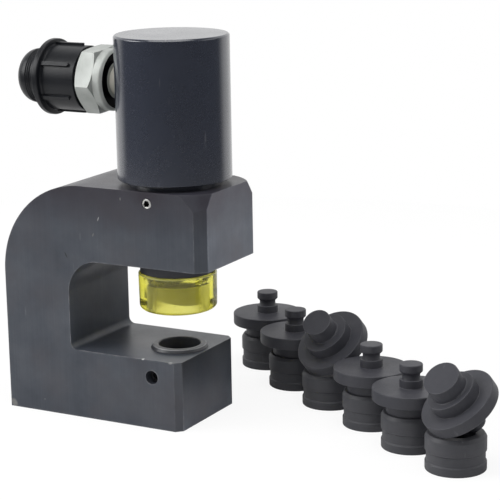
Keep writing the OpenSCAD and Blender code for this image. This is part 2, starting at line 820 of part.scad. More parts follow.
poppet_line = coil_line(poppet_spring_d / 2, poppet_room_s + poppet_wire / 2 + fit,
    poppet_seat_s - poppet_head_h - poppet_wire / 2 - 2 * fit, poppet_turns);
echo(poppet_spring_gap = coil_gap(poppet_line, poppet_wire));

module poppet_spring() {
    color(bright_steel) at_port() coil(poppet_line, poppet_wire);
}

module coupler_oring() {
    color(seal_grey) at_port() translate([0, 0, thread_s1 - socket_l / 2])
        rotate_extrude() translate([socket_d / 2, 0]) circle(d = oring_wire);
}

// One rib of the cap, round at its free end
module cap_rib() {
    low = skirt_d / 2 - rib_sink;
    end = skirt_s0 + rib_short + rib_w / 2;
    translate([low, -rib_w / 2, end]) cube([rib_d / 2 - low, rib_w, cap_flange_s0 - end + flange_edge]);
    translate([low, 0, end]) rotate([0, 90, 0]) cylinder(d = rib_w, h = rib_d / 2 - low);
}

module dust_cap() {
    inner = thread_d / 2 + loose;
    skirt = skirt_d / 2;
    rim = cap_flange_d / 2;
    stub = stub_d / 2;
    groove = stub_thread_l / stub_grooves;
    dome_in = stub * dome_in_share;
    color(cap_black) at_port() {
        rotate_extrude() polygon(concat(
            [
                [inner, skirt_s0], [skirt - skirt_break, skirt_s0], [skirt, skirt_s0 + skirt_break],
                [skirt, cap_flange_s0 - cap_fillet], [skirt + cap_fillet, cap_flange_s0],
                [rim - flange_edge, cap_flange_s0], [rim, cap_flange_s0 + flange_edge],
                [rim, cap_flange_s1 - flange_edge], [rim - flange_edge, cap_flange_s1],
                [stub, cap_flange_s1]
            ],
            [for (i = [0 : stub_grooves - 1]) for (p = stub_groove_shares)
                [stub - p[0] * stub_groove_depth, stub_thread_s0 + (i + p[1]) * groove]],
            [for (i = [0 : dome_steps]) let (t = 90 * i / dome_steps)
                [stub - dome_in + dome_in * cos(t), stub_dome_s0 + stub_dome_l * sin(t)]],
            [[0, stub_dome_s0 + stub_dome_l], [0, cap_floor_s], [inner, cap_floor_s]]
        ));
        for (i = [0 : rib_count - 1]) rotate([0, 0, rib_turn + 360 * i / rib_count]) cap_rib();
    }
}

module cap_seal() {
    color(seal_grey) at_port() cylinder_between(cap_seal_d, cap_seal_s0, cap_floor_s);
}

// Place of a loose set in the row
module at_set(i) {
    x = set_x + (i + set_drift_x_shares[i]) * set_step_x;
    y = set_y - (i - set_drift_y_shares[i]) * set_step_y;
    translate([x, y, 0]) children();
}

// A punch that stands in its die, boss on the die's top
module standing_punch(tip) {
    translate([0, 0, die_h + boss_h + flange_t]) punch_body(tip);
}

// A punch that lies upside down on its die, with its flange on the die's rim
module leaning_punch(tip, lean) {
    tilt = lean_angles[lean];
    seat = flange_d / 2 - flange_break;
    ahead = die_d / 2 - die_bevel_w - lean_in - seat * cos(tilt);
    aside = lean_aside_shares[lean] * die_d;
    z = die_h + seat * sin(tilt) + loose / cos(tilt);
    rotate([0, 0, heading_angles[lean]]) translate([ahead, aside, z]) rotate([0, tilt, 0])
        rotate([0, 0, lean_turn]) mirror([0, 0, 1]) punch_body(tip);
}

module loose_punch(i) {
    tip = tip_d * set_tip_shares[i];
    lean = search(i, lean_sets);
    color(tool_black) at_set(i) {
        if (len(lean) > 0) leaning_punch(tip, lean[0]);
        else standing_punch(tip);
    }
}

module loose_die(i) {
    color(tool_black) at_set(i) die_body(tip_d * set_tip_shares[i]);
}

c_frame();
cylinder_part();  // cylinder
cylinder_lock_screw();
ram();
piston();
piston_screw();
piston_seal();
piston_backup_ring();
piston_wear_ring();
return_spring();
guide_bush();
rod_wiper();
punch();
punch_grub_screw();
stripper();
die();
die_lock_screw();
coupler_nipple();
coupler_body();
coupler_poppet();
poppet_spring();
coupler_oring();
dust_cap();
cap_seal();
loose_punch(0);  // punch_1
loose_punch(1);  // punch_2
loose_punch(2);  // punch_3
loose_punch(3);  // punch_4
loose_punch(4);  // punch_5
loose_punch(5);  // punch_6
loose_die(0);  // die_1
loose_die(1);  // die_2
loose_die(2);  // die_3
loose_die(3);  // die_4
loose_die(4);  // die_5
loose_die(5);  // die_6
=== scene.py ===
"""Looks of a hydraulic hole punch and of the six loose tool sets beside it."""
import json
import math

import bmesh
import bpy
from mathutils import Matrix, Vector

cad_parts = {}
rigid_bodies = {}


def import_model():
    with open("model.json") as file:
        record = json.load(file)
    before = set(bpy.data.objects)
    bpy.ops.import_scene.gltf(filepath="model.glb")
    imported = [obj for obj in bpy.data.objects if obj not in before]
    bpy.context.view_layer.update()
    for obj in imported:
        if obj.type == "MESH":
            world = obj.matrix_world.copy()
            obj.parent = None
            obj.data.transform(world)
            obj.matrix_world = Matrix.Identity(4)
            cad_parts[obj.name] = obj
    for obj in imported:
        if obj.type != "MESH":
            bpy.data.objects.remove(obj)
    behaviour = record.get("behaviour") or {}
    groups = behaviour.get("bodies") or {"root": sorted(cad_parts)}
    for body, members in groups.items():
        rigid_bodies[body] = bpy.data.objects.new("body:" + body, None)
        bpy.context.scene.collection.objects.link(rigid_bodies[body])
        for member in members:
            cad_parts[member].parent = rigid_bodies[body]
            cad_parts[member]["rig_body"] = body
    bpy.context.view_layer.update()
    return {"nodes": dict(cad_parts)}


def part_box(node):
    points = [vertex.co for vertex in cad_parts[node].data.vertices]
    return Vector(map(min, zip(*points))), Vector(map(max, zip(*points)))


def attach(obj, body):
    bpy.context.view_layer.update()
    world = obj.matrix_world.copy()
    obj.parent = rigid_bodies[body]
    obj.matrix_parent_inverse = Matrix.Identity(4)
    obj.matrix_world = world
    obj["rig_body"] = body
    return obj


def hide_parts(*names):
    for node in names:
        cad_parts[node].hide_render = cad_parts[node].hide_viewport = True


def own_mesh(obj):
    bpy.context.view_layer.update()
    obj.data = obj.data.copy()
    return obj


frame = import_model()

# Units, and how finely round shapes are divided
MM = 0.001
FULL_TURN = 2 * math.pi
TURN_STEPS = 96
FINE_TURN_STEPS = 144
ROUND_STEPS = 3
SOFT_STEPS = 2
MERGE = 0.001 * MM
OVERRUN = 1 * MM
FIT = 0.05 * MM
SOFT_ANGLE = math.radians(25)


def middle(node):
    """The middle of a node's box."""
    low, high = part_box(node)
    return (low + high) / 2


def half_width(node):
    """Half of a node's extent along X, which is the radius of a turned piece."""
    low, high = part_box(node)
    return (high.x - low.x) / 2


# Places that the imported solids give
AXIS_X = middle("cylinder").x
FRAME_LOW, FRAME_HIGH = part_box("c_frame")
BARREL_LOW, BARREL_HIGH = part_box("cylinder")
BARREL_R = half_width("cylinder")
PORT_Z = middle("coupler_nipple").z
RAM_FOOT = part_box("ram")[0].z
FLANGE_R = half_width("punch")
DIE_LOW, DIE_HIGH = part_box("die")
DIE_R = half_width("die")
DIE_H = DIE_HIGH.z - DIE_LOW.z
STRIPPER_LOW, STRIPPER_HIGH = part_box("stripper")
LOCK_SCREW = middle("cylinder_lock_screw")
DIE_SCREW = middle("die_lock_screw")

ON_AXIS = Matrix.Translation((AXIS_X, 0, 0))
# +Z of a turned piece becomes -X, outwards from the cylinder's side
AT_PORT = Matrix.Translation((AXIS_X - BARREL_R, 0, PORT_Z)) @ Matrix.Rotation(-math.pi / 2, 4, "Y")
# +Z of a turned piece becomes +Y, into the frame's side
INTO_SIDE = Matrix.Rotation(-math.pi / 2, 4, "X")

# Camera: its turn from -Y towards +X, its rise and roll, and its place about a point on the punch axis
CAMERA_TURN = math.radians(28.872)
CAMERA_RISE = math.radians(13.224)
CAMERA_ROLL = math.radians(-1.025)
CAMERA_DISTANCE = 1048.38 * MM
CAMERA_AIM_Z = 150 * MM
CAMERA_ASIDE = 43.14 * MM
CAMERA_BELOW = 49.615 * MM
CAMERA_LENS = 131.63
CAMERA_SENSOR = 36


def camera_axes():
    """The camera's right, up and back directions."""
    back = Vector((
        math.sin(CAMERA_TURN) * math.cos(CAMERA_RISE), -math.cos(CAMERA_TURN) * math.cos(CAMERA_RISE),
        math.sin(CAMERA_RISE)))
    right = Vector((math.cos(CAMERA_TURN), math.sin(CAMERA_TURN), 0))
    roll = Matrix.Rotation(CAMERA_ROLL, 3, back)
    return roll @ right, roll @ back.cross(right), back


def photo_camera():
    """The camera at the photograph's viewing angle."""
    right, up, back = camera_axes()
    data = bpy.data.cameras.new("photo_camera")
    data.lens = CAMERA_LENS
    data.sensor_width = CAMERA_SENSOR
    camera = bpy.data.objects.new("photo_camera", data)
    bpy.context.scene.collection.objects.link(camera)
    aim = Vector((AXIS_X, 0, CAMERA_AIM_Z))
    centre = aim + right * CAMERA_ASIDE - up * CAMERA_BELOW + back * CAMERA_DISTANCE
    camera.matrix_world = Matrix.Translation(centre) @ Matrix((right, up, back)).transposed().to_4x4()
    bpy.context.scene.camera = camera


photo_camera()

# Frame
DIE_STANDS_OUT = 2.3 * MM
RAM_STANDS_OUT = 1 * MM
THROAT_DEPTH = 55 * MM
BASE_H = DIE_HIGH.z - DIE_STANDS_OUT
THROAT_TOP = RAM_FOOT + RAM_STANDS_OUT
THROAT_X = AXIS_X - THROAT_DEPTH
BACK_R = 55 * MM
BACK_STEPS = 40
THROAT_TOP_R = 20 * MM
THROAT_TOP_STEPS = 20
THROAT_BOTTOM_R = 4 * MM
THROAT_BOTTOM_STEPS = 8
LOWER_CHAMFER = 3.6 * MM
UPPER_CHAMFER = 5.8 * MM
NOSE_AHEAD = 8 * MM
NOSE_R = 34.5 * MM
NOSE_DEPTH = 12 * MM
NOSE_SLOPE = 0.48
SLUG_R = 13.5 * MM
FRAME_EDGE = 0.5 * MM

# Cylinder
NECK_R = 27 * MM
NECK_SHOW = 3.2 * MM
BORE_R = 23 * MM
BORE_TOP = 186.6 * MM
BARREL_TOP_CHAMFER = 1 * MM
BARREL_LOW_CHAMFER = 0.6 * MM
NECK_THREAD = 0.5 * MM
NECK_PITCH = 1.5 * MM
OIL_R = 3 * MM
BUSH_R = 19 * MM
BUSH_FOOT = 101 * MM
WIPER_R = 20 * MM
WIPER_FOOT = 96.2 * MM
LIP_R = 16.3 * MM

# Punches
FLANGE_T = 7 * MM
BOSS_R = 13.95 * MM
BOSS_H = 7 * MM
STEM_R = 6.5 * MM
STEM_NECK_R = 5 * MM
STEM_COLLAR_H = 4.7 * MM
STEM_NECK_H = 3 * MM
KNOB_H = 5.7 * MM
TIP_L = 11.5 * MM
TIP_R = 12 * MM
TIP_TAPER = 0.985
TIP_SLOPE = math.radians(11)
ROOT_W = 0.7 * MM
ROOT_H = 0.5 * MM
TOOL_EDGE = 0.6 * MM
TIP_EDGE = 0.15 * MM

# Dies
DIE_BEVEL_W = 1.3 * MM
DIE_BEVEL_H = 2 * MM
DIE_CLEAR = 0.3 * MM
DIE_MOUTH = 0.5 * MM
DIE_LAND = 7 * MM
DIE_RELIEF = 0.8 * MM
DIE_LOCK_H = 7.9 * MM
DIE_GROOVE_HALF = 3.25 * MM
DIE_GROOVE_DEPTH = 0.7 * MM

# Loose sets: tip sizes as shares of the tip in the machine, and the two punches that lean on their dies,
# with their tilt and heading in degrees and how far they lie aside as a share of the die's diameter
SET_TIPS = (0.44, 0.495, 0.715, 0.568, 0.642, 0.852)
LEANING = {3: (40, -110, 0.06), 6: (36.5, -125, 0.045)}
LEAN_IN = 1.8 * MM
LEAN_TURN = math.radians(-107)
LEAN_GAP = 0.3 * MM

# Stripper
STRIPPER_CHAMFER = 1.8 * MM
STRIPPER_EDGE = 0.9 * MM
STRIPPER_DRAW_IN = 0.3 * MM
STRIPPER_BOSS_R = 14.05 * MM
STRIPPER_BORE_R = 12.9 * MM
STRIPPER_ROOM = 0.1 * MM
STRIPPER_STEP = BOSS_H + STRIPPER_ROOM

# Coupler, measured outwards from the cylinder's side
NIPPLE_R = 8.55 * MM
NIPPLE_BORE_R = 3.5 * MM
NIPPLE_IN = 12 * MM
NIPPLE_END = 16 * MM
COLLAR_START = 4 * MM
COLLAR_R = 18 * MM
COLLAR_BREAK = 1.4 * MM
REAR_LAND_R = 10.95 * MM
REAR_RIM_R = 16.35 * MM
REAR_DEPTH = 2.2 * MM
HEX_START = 10 * MM
HEX_END = 21.5 * MM
HEX_FLAT = 18 * MM
HEX_TURN = math.radians(24)
HEX_CHAMFER = 1.5 * MM
THREAD_R = 16 * MM
THREAD_DEPTH = 0.7 * MM
THREAD_PITCH = 2 * MM
THREAD_RUNOUT = 3 * MM
THREAD_END = 39 * MM
THREADS = 6
SOCKET_R = 11 * MM
SOCKET_L = 7.5 * MM
SEAT_R = 4.5 * MM
SEAT_L = 2 * MM
POPPET_ROOM_R = 7 * MM
POPPET_ROOM_START = 18 * MM
PASSAGE_R = 4 * MM
ZINC_EDGE = 0.35 * MM

# Dust cap
CAP_INNER_R = 16.3 * MM
SKIRT_START = 22.5 * MM
SKIRT_R = 19 * MM
RIB_R = 20.4 * MM
RIB_W = 2.4 * MM
RIB_SHORT = 3.7 * MM
RIB_SINK = 0.6 * MM
RIB_COUNT = 6
RIB_STEPS = 6
CAP_FLOOR = 41.3 * MM
CAP_FLANGE_START = 45.3 * MM
CAP_FLANGE_END = 49 * MM
CAP_FLANGE_R = 22.3 * MM
CAP_EDGE = 0.8 * MM
CAP_FILLET = 1.4 * MM
STUB_R = 16 * MM
STUB_THREAD_START = 54.3 * MM
STUB_THREAD_L = 4 * MM
STUB_GROOVES = 3
STUB_GROOVE_DEPTH = 0.5 * MM
# One groove of the stub: shares of its depth and of its length
STUB_GROOVE_SHARES = ((0, 0), (1, 0.3), (1, 0.7))
DOME_L = 8.9 * MM
DOME_IN = 9.6 * MM
DOME_STEPS = 12

# Screws and springs
SCREW_EDGE = 0.5 * MM
SOCKET_SHARE = 0.55
SOCKET_DEPTH_SHARE = 0.45
LOCK_POINT_SHARE = 0.45
SOCKET_SHADE_R = 2 * MM
SOCKET_SHADE_L = 6 * MM
DIE_POINT_SHARE = 0.1
SPRING_SIDES = 12
SPRING_STEPS = 36
RETURN_COIL_R = 19.75 * MM
RETURN_WIRE = 4 * MM
RETURN_TURNS = 4.5
VALVE_COIL_R = 4.7 * MM
VALVE_WIRE = 0.9 * MM
VALVE_TURNS = 3.5


def bevelled(shape, parts, width, affect, steps=1):
    """Rounds or chamfers some corners or edges of a shape."""
    bmesh.ops.bevel(
        shape, geom=parts, offset=width, offset_type="OFFSET", segments=steps, profile=0.5, affect=affect,
        material=-1)


def turned(corners, steps=TURN_STEPS):
    """A shape turned about Z from corners of (radius, height, rounding), up to the axis or as a ring."""
    shape = bmesh.new()
    points = [shape.verts.new((radius, 0, height)) for radius, height, _ in corners]
    reaches_axis = corners[0][0] == 0 and corners[-1][0] == 0
    following = points[1:] if reaches_axis else points[1:] + points[:1]
    for start, end in zip(points, following):
        shape.edges.new((start, end))
    for point, (_, _, rounding) in zip(points, corners):
        if rounding:
            bevelled(shape, [point], rounding, "VERTICES", ROUND_STEPS)
    bmesh.ops.spin(
        shape, geom=shape.verts[:] + shape.edges[:], cent=(0, 0, 0), axis=(0, 0, 1), angle=FULL_TURN,
        steps=steps, use_merge=True)
    return closed(shape)


def closed(shape):
    """Merges a shape's doubles and turns its faces outwards."""
    bmesh.ops.remove_doubles(shape, verts=shape.verts, dist=MERGE)
    bmesh.ops.recalc_face_normals(shape, faces=shape.faces)
    return shape


def raised(outline, height):
    """A straight-sided shape from the outline of one flat face, raised by a vector."""
    sides = bmesh.ops.extrude_face_region(outline, geom=outline.faces[:])
    top = [v for v in sides["geom"] if isinstance(v, bmesh.types.BMVert)]
    bmesh.ops.translate(outline, vec=height, verts=top)
    return closed(outline)


def hexagon(across_flats, start, end, turn=0):
    """A six-sided bar along Z, with its first corner turned from X."""
    shape = bmesh.new()
    place = Matrix.Translation((0, 0, start)) @ Matrix.Rotation(turn - math.pi / 2, 4, "Z")
    corner = across_flats / 2 / math.cos(math.pi / 6)
    bmesh.ops.create_circle(shape, cap_ends=True, segments=6, radius=corner, matrix=place)
    return raised(shape, (0, 0, end - start))


def placed(shape, place):
    """Moves a shape to its place."""
    bmesh.ops.transform(shape, matrix=place, verts=shape.verts)
    return shape


def combined(shape, tool, operation):
    """A shape cut by, joined to or kept inside a second one."""
    blanks = []
    for part in (shape, tool):
        mesh = bpy.data.meshes.new("blank")
        part.to_mesh(mesh)
        part.free()
        blank = bpy.data.objects.new("blank", mesh)
        bpy.context.scene.collection.objects.link(blank)
        blanks.append(blank)
    step = blanks[0].modifiers.new("step", "BOOLEAN")
    step.operation = operation
    step.solver = "EXACT"
    step.object = blanks[1]
    result = bmesh.new()
    result.from_object(blanks[0], bpy.context.evaluated_depsgraph_get())
    for blank in blanks:
        mesh = blank.data
        bpy.data.objects.remove(blank)
        bpy.data.meshes.remove(mesh)
    return closed(result)


def sliced(shape, point, normal, edge):
    """Takes off what lies behind a plane, closes the cut and breaks its edge."""
    whole = shape.verts[:] + shape.edges[:] + shape.faces[:]
    bmesh.ops.bisect_plane(
        shape, geom=whole, dist=MERGE, plane_co=point, plane_no=normal, clear_inner=True)
    rim = [e for e in shape.edges if e.is_boundary]
    bmesh.ops.holes_fill(shape, edges=rim, sides=0)
    bevelled(shape, rim, edge, "EDGES")
    return closed(shape)


def piece(name, node, shape, finish, place=None, edge=0):
    """Shows a shape in place of a node. Its own turning axis stays in the lathe attribute for the finish."""
    lathe = shape.verts.layers.float_vector.new("lathe")
    for vert in shape.verts:
        vert[lathe] = vert.co
    if place:
        placed(shape, place)
    for face in shape.faces:
        face.smooth = True
    mesh = bpy.data.meshes.new(name)
    shape.to_mesh(mesh)
    shape.free()
    mesh.materials.append(finish)
    made = bpy.data.objects.new(name, mesh)
    bpy.context.scene.collection.objects.link(made)
    if edge:
        soft = made.modifiers.new("soft_edges", "BEVEL")
        soft.width = edge
        soft.segments = SOFT_STEPS
        soft.limit_method = "ANGLE"
        soft.angle_limit = SOFT_ANGLE
    made.modifiers.new("flat_faces", "WEIGHTED_NORMAL")
    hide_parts(node)
    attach(made, frame["nodes"][node]["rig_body"])
    return made


# Shapes of the pieces


def frame_outline():
    """The side face of the frame, with its throat and its rounded corners."""
    shape = bmesh.new()
    corners = (
        (FRAME_LOW.x, 0, 0, 0), (-FRAME_LOW.x, 0, 0, 0), (-FRAME_LOW.x, BASE_H, 0, 0),
        (THROAT_X, BASE_H, THROAT_BOTTOM_R, THROAT_BOTTOM_STEPS),
        (THROAT_X, THROAT_TOP, THROAT_TOP_R, THROAT_TOP_STEPS),
        (FRAME_HIGH.x, THROAT_TOP, 0, 0), (FRAME_HIGH.x, FRAME_HIGH.z, 0, 0),
        (FRAME_LOW.x, FRAME_HIGH.z, BACK_R, BACK_STEPS))
    points = [shape.verts.new((x, FRAME_LOW.y, z)) for x, z, _, _ in corners]
    shape.faces.new(points)
    for point, (_, _, radius, steps) in zip(points, corners):
        if radius:
            bevelled(shape, [point], radius, "VERTICES", steps)
    return shape


def chamfer_front(shape, x, width):
    """Chamfers the upright edges at one end of the frame."""
    upright = []
    for edge in shape.edges:
        a, b = (vert.co for vert in edge.verts)
        if abs(a.x - x) < MERGE and abs(b.x - x) < MERGE and abs(a.y - b.y) < MERGE:
            upright.append(edge)
    bevelled(shape, upright, width, "EDGES")


def nose_cutter():
    """What the lathe takes off the front corners of the upper arm."""
    block = bmesh.new()
    width = FRAME_HIGH.y - FRAME_LOW.y + 2 * OVERRUN
    start = AXIS_X + NOSE_AHEAD
    length = FRAME_HIGH.x - start + OVERRUN
    height = NOSE_DEPTH + OVERRUN
    floor = FRAME_HIGH.z - NOSE_DEPTH
    centre = Matrix.Translation((start + length / 2, 0, floor + height / 2))
    bmesh.ops.create_cube(block, size=1, matrix=centre @ Matrix.Diagonal((length, width, height, 1)))
    foot = floor - OVERRUN
    top = FRAME_HIGH.z + 2 * OVERRUN
    foot_r = NOSE_R + NOSE_SLOPE * (NOSE_DEPTH + OVERRUN)
    top_r = NOSE_R - NOSE_SLOPE * 2 * OVERRUN
    cone = turned(((0, foot, 0), (foot_r, foot, 0), (top_r, top, 0), (0, top, 0)), FINE_TURN_STEPS)
    return combined(block, placed(cone, Matrix.Translation((start, 0, 0))), "DIFFERENCE")


def drill(radius, start, end, place):
    """A drill along +Z."""
    return placed(turned(((0, start, 0), (radius, start, 0), (radius, end, 0), (0, end, 0))), place)


def milled_frame():
    """The C-shaped body: chamfered, turned at its nose, bored and drilled for what it carries."""
    shape = raised(frame_outline(), (0, FRAME_HIGH.y - FRAME_LOW.y, 0))
    chamfer_front(shape, -FRAME_LOW.x, LOWER_CHAMFER)
    chamfer_front(shape, FRAME_HIGH.x, UPPER_CHAMFER)
    closed(shape)
    shape = combined(shape, nose_cutter(), "DIFFERENCE")
    neck_bore = turned((
        (0, THROAT_TOP - OVERRUN, 0), (LIP_R, THROAT_TOP - OVERRUN, 0), (LIP_R, WIPER_FOOT, 0),
        (WIPER_R + FIT, WIPER_FOOT, 0), (WIPER_R + FIT, BUSH_FOOT, 0), (BUSH_R + FIT, BUSH_FOOT, 0),
        (BUSH_R + FIT, BARREL_LOW.z, 0), (NECK_R + FIT, BARREL_LOW.z, 0),
        (NECK_R + FIT, FRAME_HIGH.z + OVERRUN, 0), (0, FRAME_HIGH.z + OVERRUN, 0)), FINE_TURN_STEPS)
    shape = combined(shape, placed(neck_bore, ON_AXIS), "DIFFERENCE")
    die_pocket = turned((
        (0, -OVERRUN, 0), (SLUG_R, -OVERRUN, 0), (SLUG_R, DIE_LOW.z, 0), (DIE_R + FIT, DIE_LOW.z, 0),
        (DIE_R + FIT, BASE_H + OVERRUN, 0), (0, BASE_H + OVERRUN, 0)), FINE_TURN_STEPS)
    shape = combined(shape, placed(die_pocket, ON_AXIS), "DIFFERENCE")
    for node, screw in (("die_lock_screw", DIE_SCREW), ("cylinder_lock_screw", LOCK_SCREW)):
        place = Matrix.Translation((AXIS_X, FRAME_LOW.y, screw.z)) @ INTO_SIDE
        hole = drill(half_width(node) + FIT, -OVERRUN, FRAME_HIGH.y, place)
        shape = combined(shape, hole, "DIFFERENCE")
    return shape


def barrel():
    """The blind cylinder, with its bore, its threaded neck and the oil port in its side."""
    shoulder = FRAME_HIGH.z + NECK_SHOW
    threads = []
    for turn in range(int(NECK_SHOW / NECK_PITCH)):
        top = shoulder - turn * NECK_PITCH
        threads += [(NECK_R, top, 0), (NECK_R - NECK_THREAD, top - NECK_PITCH / 2, 0)]
    shape = turned((
        (0, BARREL_HIGH.z, 0), (BARREL_R - BARREL_TOP_CHAMFER, BARREL_HIGH.z, BARREL_TOP_CHAMFER / 3),
        (BARREL_R, BARREL_HIGH.z - BARREL_TOP_CHAMFER, BARREL_TOP_CHAMFER / 3),
        (BARREL_R, shoulder + BARREL_LOW_CHAMFER, 0), (BARREL_R - BARREL_LOW_CHAMFER, shoulder, 0),
        *threads, (NECK_R, FRAME_HIGH.z, 0), (NECK_R, BARREL_LOW.z, 0), (BORE_R, BARREL_LOW.z, 0),
        (BORE_R, BORE_TOP, 0), (0, BORE_TOP, 0)), FINE_TURN_STEPS)
    shape = placed(shape, ON_AXIS)
    shape = combined(shape, drill(NIPPLE_R + FIT, -NIPPLE_IN, OVERRUN, AT_PORT), "DIFFERENCE")
    shape = combined(shape, drill(OIL_R, -BARREL_R, -NIPPLE_IN + OVERRUN, AT_PORT), "DIFFERENCE")
    return combined(shape, drill(OIL_R, BORE_TOP - OVERRUN, PORT_Z, ON_AXIS), "DIFFERENCE")


def punch(tip):
    """A punch with its flange's upper face at the origin, its stem upwards and its slanted tip downwards."""
    low = -FLANGE_T - BOSS_H
    end = low - TIP_L
    neck = STEM_COLLAR_H + STEM_NECK_H
    top = neck + KNOB_H
    slant = STEM_R - STEM_NECK_R
    edge = TOOL_EDGE
    shape = turned((
        (0, top, 0), (STEM_R, top, edge), (STEM_R, neck + slant, edge / 2), (STEM_NECK_R, neck, 0),
        (STEM_NECK_R, STEM_COLLAR_H, 0), (STEM_R, STEM_COLLAR_H, edge / 2), (STEM_R, 0, edge / 3),
        (FLANGE_R, 0, edge), (FLANGE_R, -FLANGE_T, edge), (BOSS_R, -FLANGE_T, edge / 3),
        (BOSS_R, low, edge / 2), (tip + ROOT_W, low, 0), (tip * TIP_TAPER, low - ROOT_H, ROOT_H / 2),
        (tip, end, 0), (0, end, 0)))
    return sliced(shape, (tip, 0, end), (math.sin(TIP_SLOPE), 0, math.cos(TIP_SLOPE)), TIP_EDGE)


def die_ring(tip):
    """A die with its foot at the origin, bored for a tip and grooved for its lock screw."""
    bore = tip + DIE_CLEAR
    land = DIE_H - DIE_MOUTH - DIE_LAND
    groove_r = DIE_R - DIE_GROOVE_DEPTH
    low = DIE_LOCK_H - DIE_GROOVE_HALF
    high = DIE_LOCK_H + DIE_GROOVE_HALF
    edge = TOOL_EDGE
    return turned((
        (bore + DIE_RELIEF, 0, 0), (DIE_R, 0, edge), (DIE_R, low, edge / 4),
        (groove_r, low + DIE_GROOVE_DEPTH, edge / 4), (groove_r, high - DIE_GROOVE_DEPTH, edge / 4),
        (DIE_R, high, edge / 4), (DIE_R, DIE_H - DIE_BEVEL_H, edge / 2),
        (DIE_R - DIE_BEVEL_W, DIE_H, edge / 2), (bore + DIE_MOUTH, DIE_H, edge / 4),
        (bore, DIE_H - DIE_MOUTH, edge / 4), (bore, land, 0), (bore + DIE_RELIEF, land - DIE_RELIEF, 0)))


def stripper_sleeve():
    """The urethane sleeve round the punch's boss and tip."""
    low, high = STRIPPER_LOW.z, STRIPPER_HIGH.z
    top = half_width("stripper")
    foot = top - STRIPPER_DRAW_IN
    return turned((
        (STRIPPER_BORE_R, low, STRIPPER_EDGE / 2), (foot - STRIPPER_CHAMFER, low, STRIPPER_EDGE),
        (foot, low + STRIPPER_CHAMFER, STRIPPER_EDGE), (top, high, STRIPPER_EDGE),
        (STRIPPER_BOSS_R, high, 0), (STRIPPER_BOSS_R, high - STRIPPER_STEP, 0),
        (STRIPPER_BORE_R, high - STRIPPER_STEP, 0)), FINE_TURN_STEPS)


def coupler_half():
    """The coupler's collar, hexagon and thread, with the bores for nipple, poppet and plug."""
    corner = HEX_FLAT / math.cos(math.pi / 6)
    turned_ends = turned((
        (0, HEX_START, 0), (HEX_FLAT, HEX_START, 0), (corner, HEX_START + HEX_CHAMFER, 0),
        (corner, HEX_END - HEX_CHAMFER, 0), (HEX_FLAT, HEX_END, 0), (0, HEX_END, 0)))
    nut = combined(hexagon(2 * HEX_FLAT, HEX_START, HEX_END, HEX_TURN), turned_ends, "INTERSECT")
    core = turned((
        (0, HEX_START - OVERRUN, 0), (THREAD_R - OVERRUN, HEX_START - OVERRUN, 0),
        (THREAD_R - OVERRUN, HEX_END + OVERRUN, 0), (0, HEX_END + OVERRUN, 0)))
    nut = combined(nut, core, "DIFFERENCE")
    seat = THREAD_END - SOCKET_L
    threads = []
    for turn in range(THREADS):
        start = HEX_END + THREAD_RUNOUT + turn * THREAD_PITCH
        threads += [(THREAD_R, start, 0), (THREAD_R - THREAD_DEPTH, start + THREAD_PITCH / 2, 0)]
    body = turned((
        (NIPPLE_R + FIT, COLLAR_START, 0), (REAR_LAND_R, COLLAR_START, ZINC_EDGE),
        (REAR_LAND_R, COLLAR_START + REAR_DEPTH, 0), (REAR_RIM_R, COLLAR_START + REAR_DEPTH, 0),
        (REAR_RIM_R, COLLAR_START, 0), (COLLAR_R - COLLAR_BREAK, COLLAR_START, 0),
        (COLLAR_R, COLLAR_START + COLLAR_BREAK, COLLAR_BREAK / 2), (COLLAR_R, HEX_START + OVERRUN, 0),
        (THREAD_R, HEX_START + OVERRUN, 0), *threads,
        (THREAD_R, THREAD_END - THREAD_DEPTH, 0), (THREAD_R - THREAD_DEPTH, THREAD_END, 0),
        (SOCKET_R, THREAD_END, ZINC_EDGE), (SOCKET_R, seat, 0), (SEAT_R, seat, 0), (SEAT_R, seat - SEAT_L, 0),
        (POPPET_ROOM_R, seat - SEAT_L, 0), (POPPET_ROOM_R, POPPET_ROOM_START, 0),
        (PASSAGE_R, POPPET_ROOM_START, 0), (PASSAGE_R, NIPPLE_END, 0), (NIPPLE_R + FIT, NIPPLE_END, 0)))
    return combined(body, nut, "UNION")


def pipe_nipple():
    """The short pipe between cylinder and coupler, with the tape wound round its thread."""
    return turned((
        (NIPPLE_BORE_R, -NIPPLE_IN, 0), (NIPPLE_R, -NIPPLE_IN, 0), (NIPPLE_R, NIPPLE_END, 0),
        (NIPPLE_BORE_R, NIPPLE_END, 0)))


def cap_rib(turn):
    """One rib of the dust cap, round at its free end."""
    shape = bmesh.new()
    start = SKIRT_START + RIB_SHORT
    end = CAP_FLANGE_START + CAP_EDGE
    low = SKIRT_R - RIB_SINK
    half = RIB_W / 2
    free = [shape.verts.new((low, -half, start)), shape.verts.new((low, half, start))]
    held = [shape.verts.new((low, half, end)), shape.verts.new((low, -half, end))]
    shape.faces.new(free + held)
    bevelled(shape, free, half, "VERTICES", RIB_STEPS)
    return placed(raised(shape, (RIB_R - low, 0, 0)), Matrix.Rotation(turn, 4, "Z"))


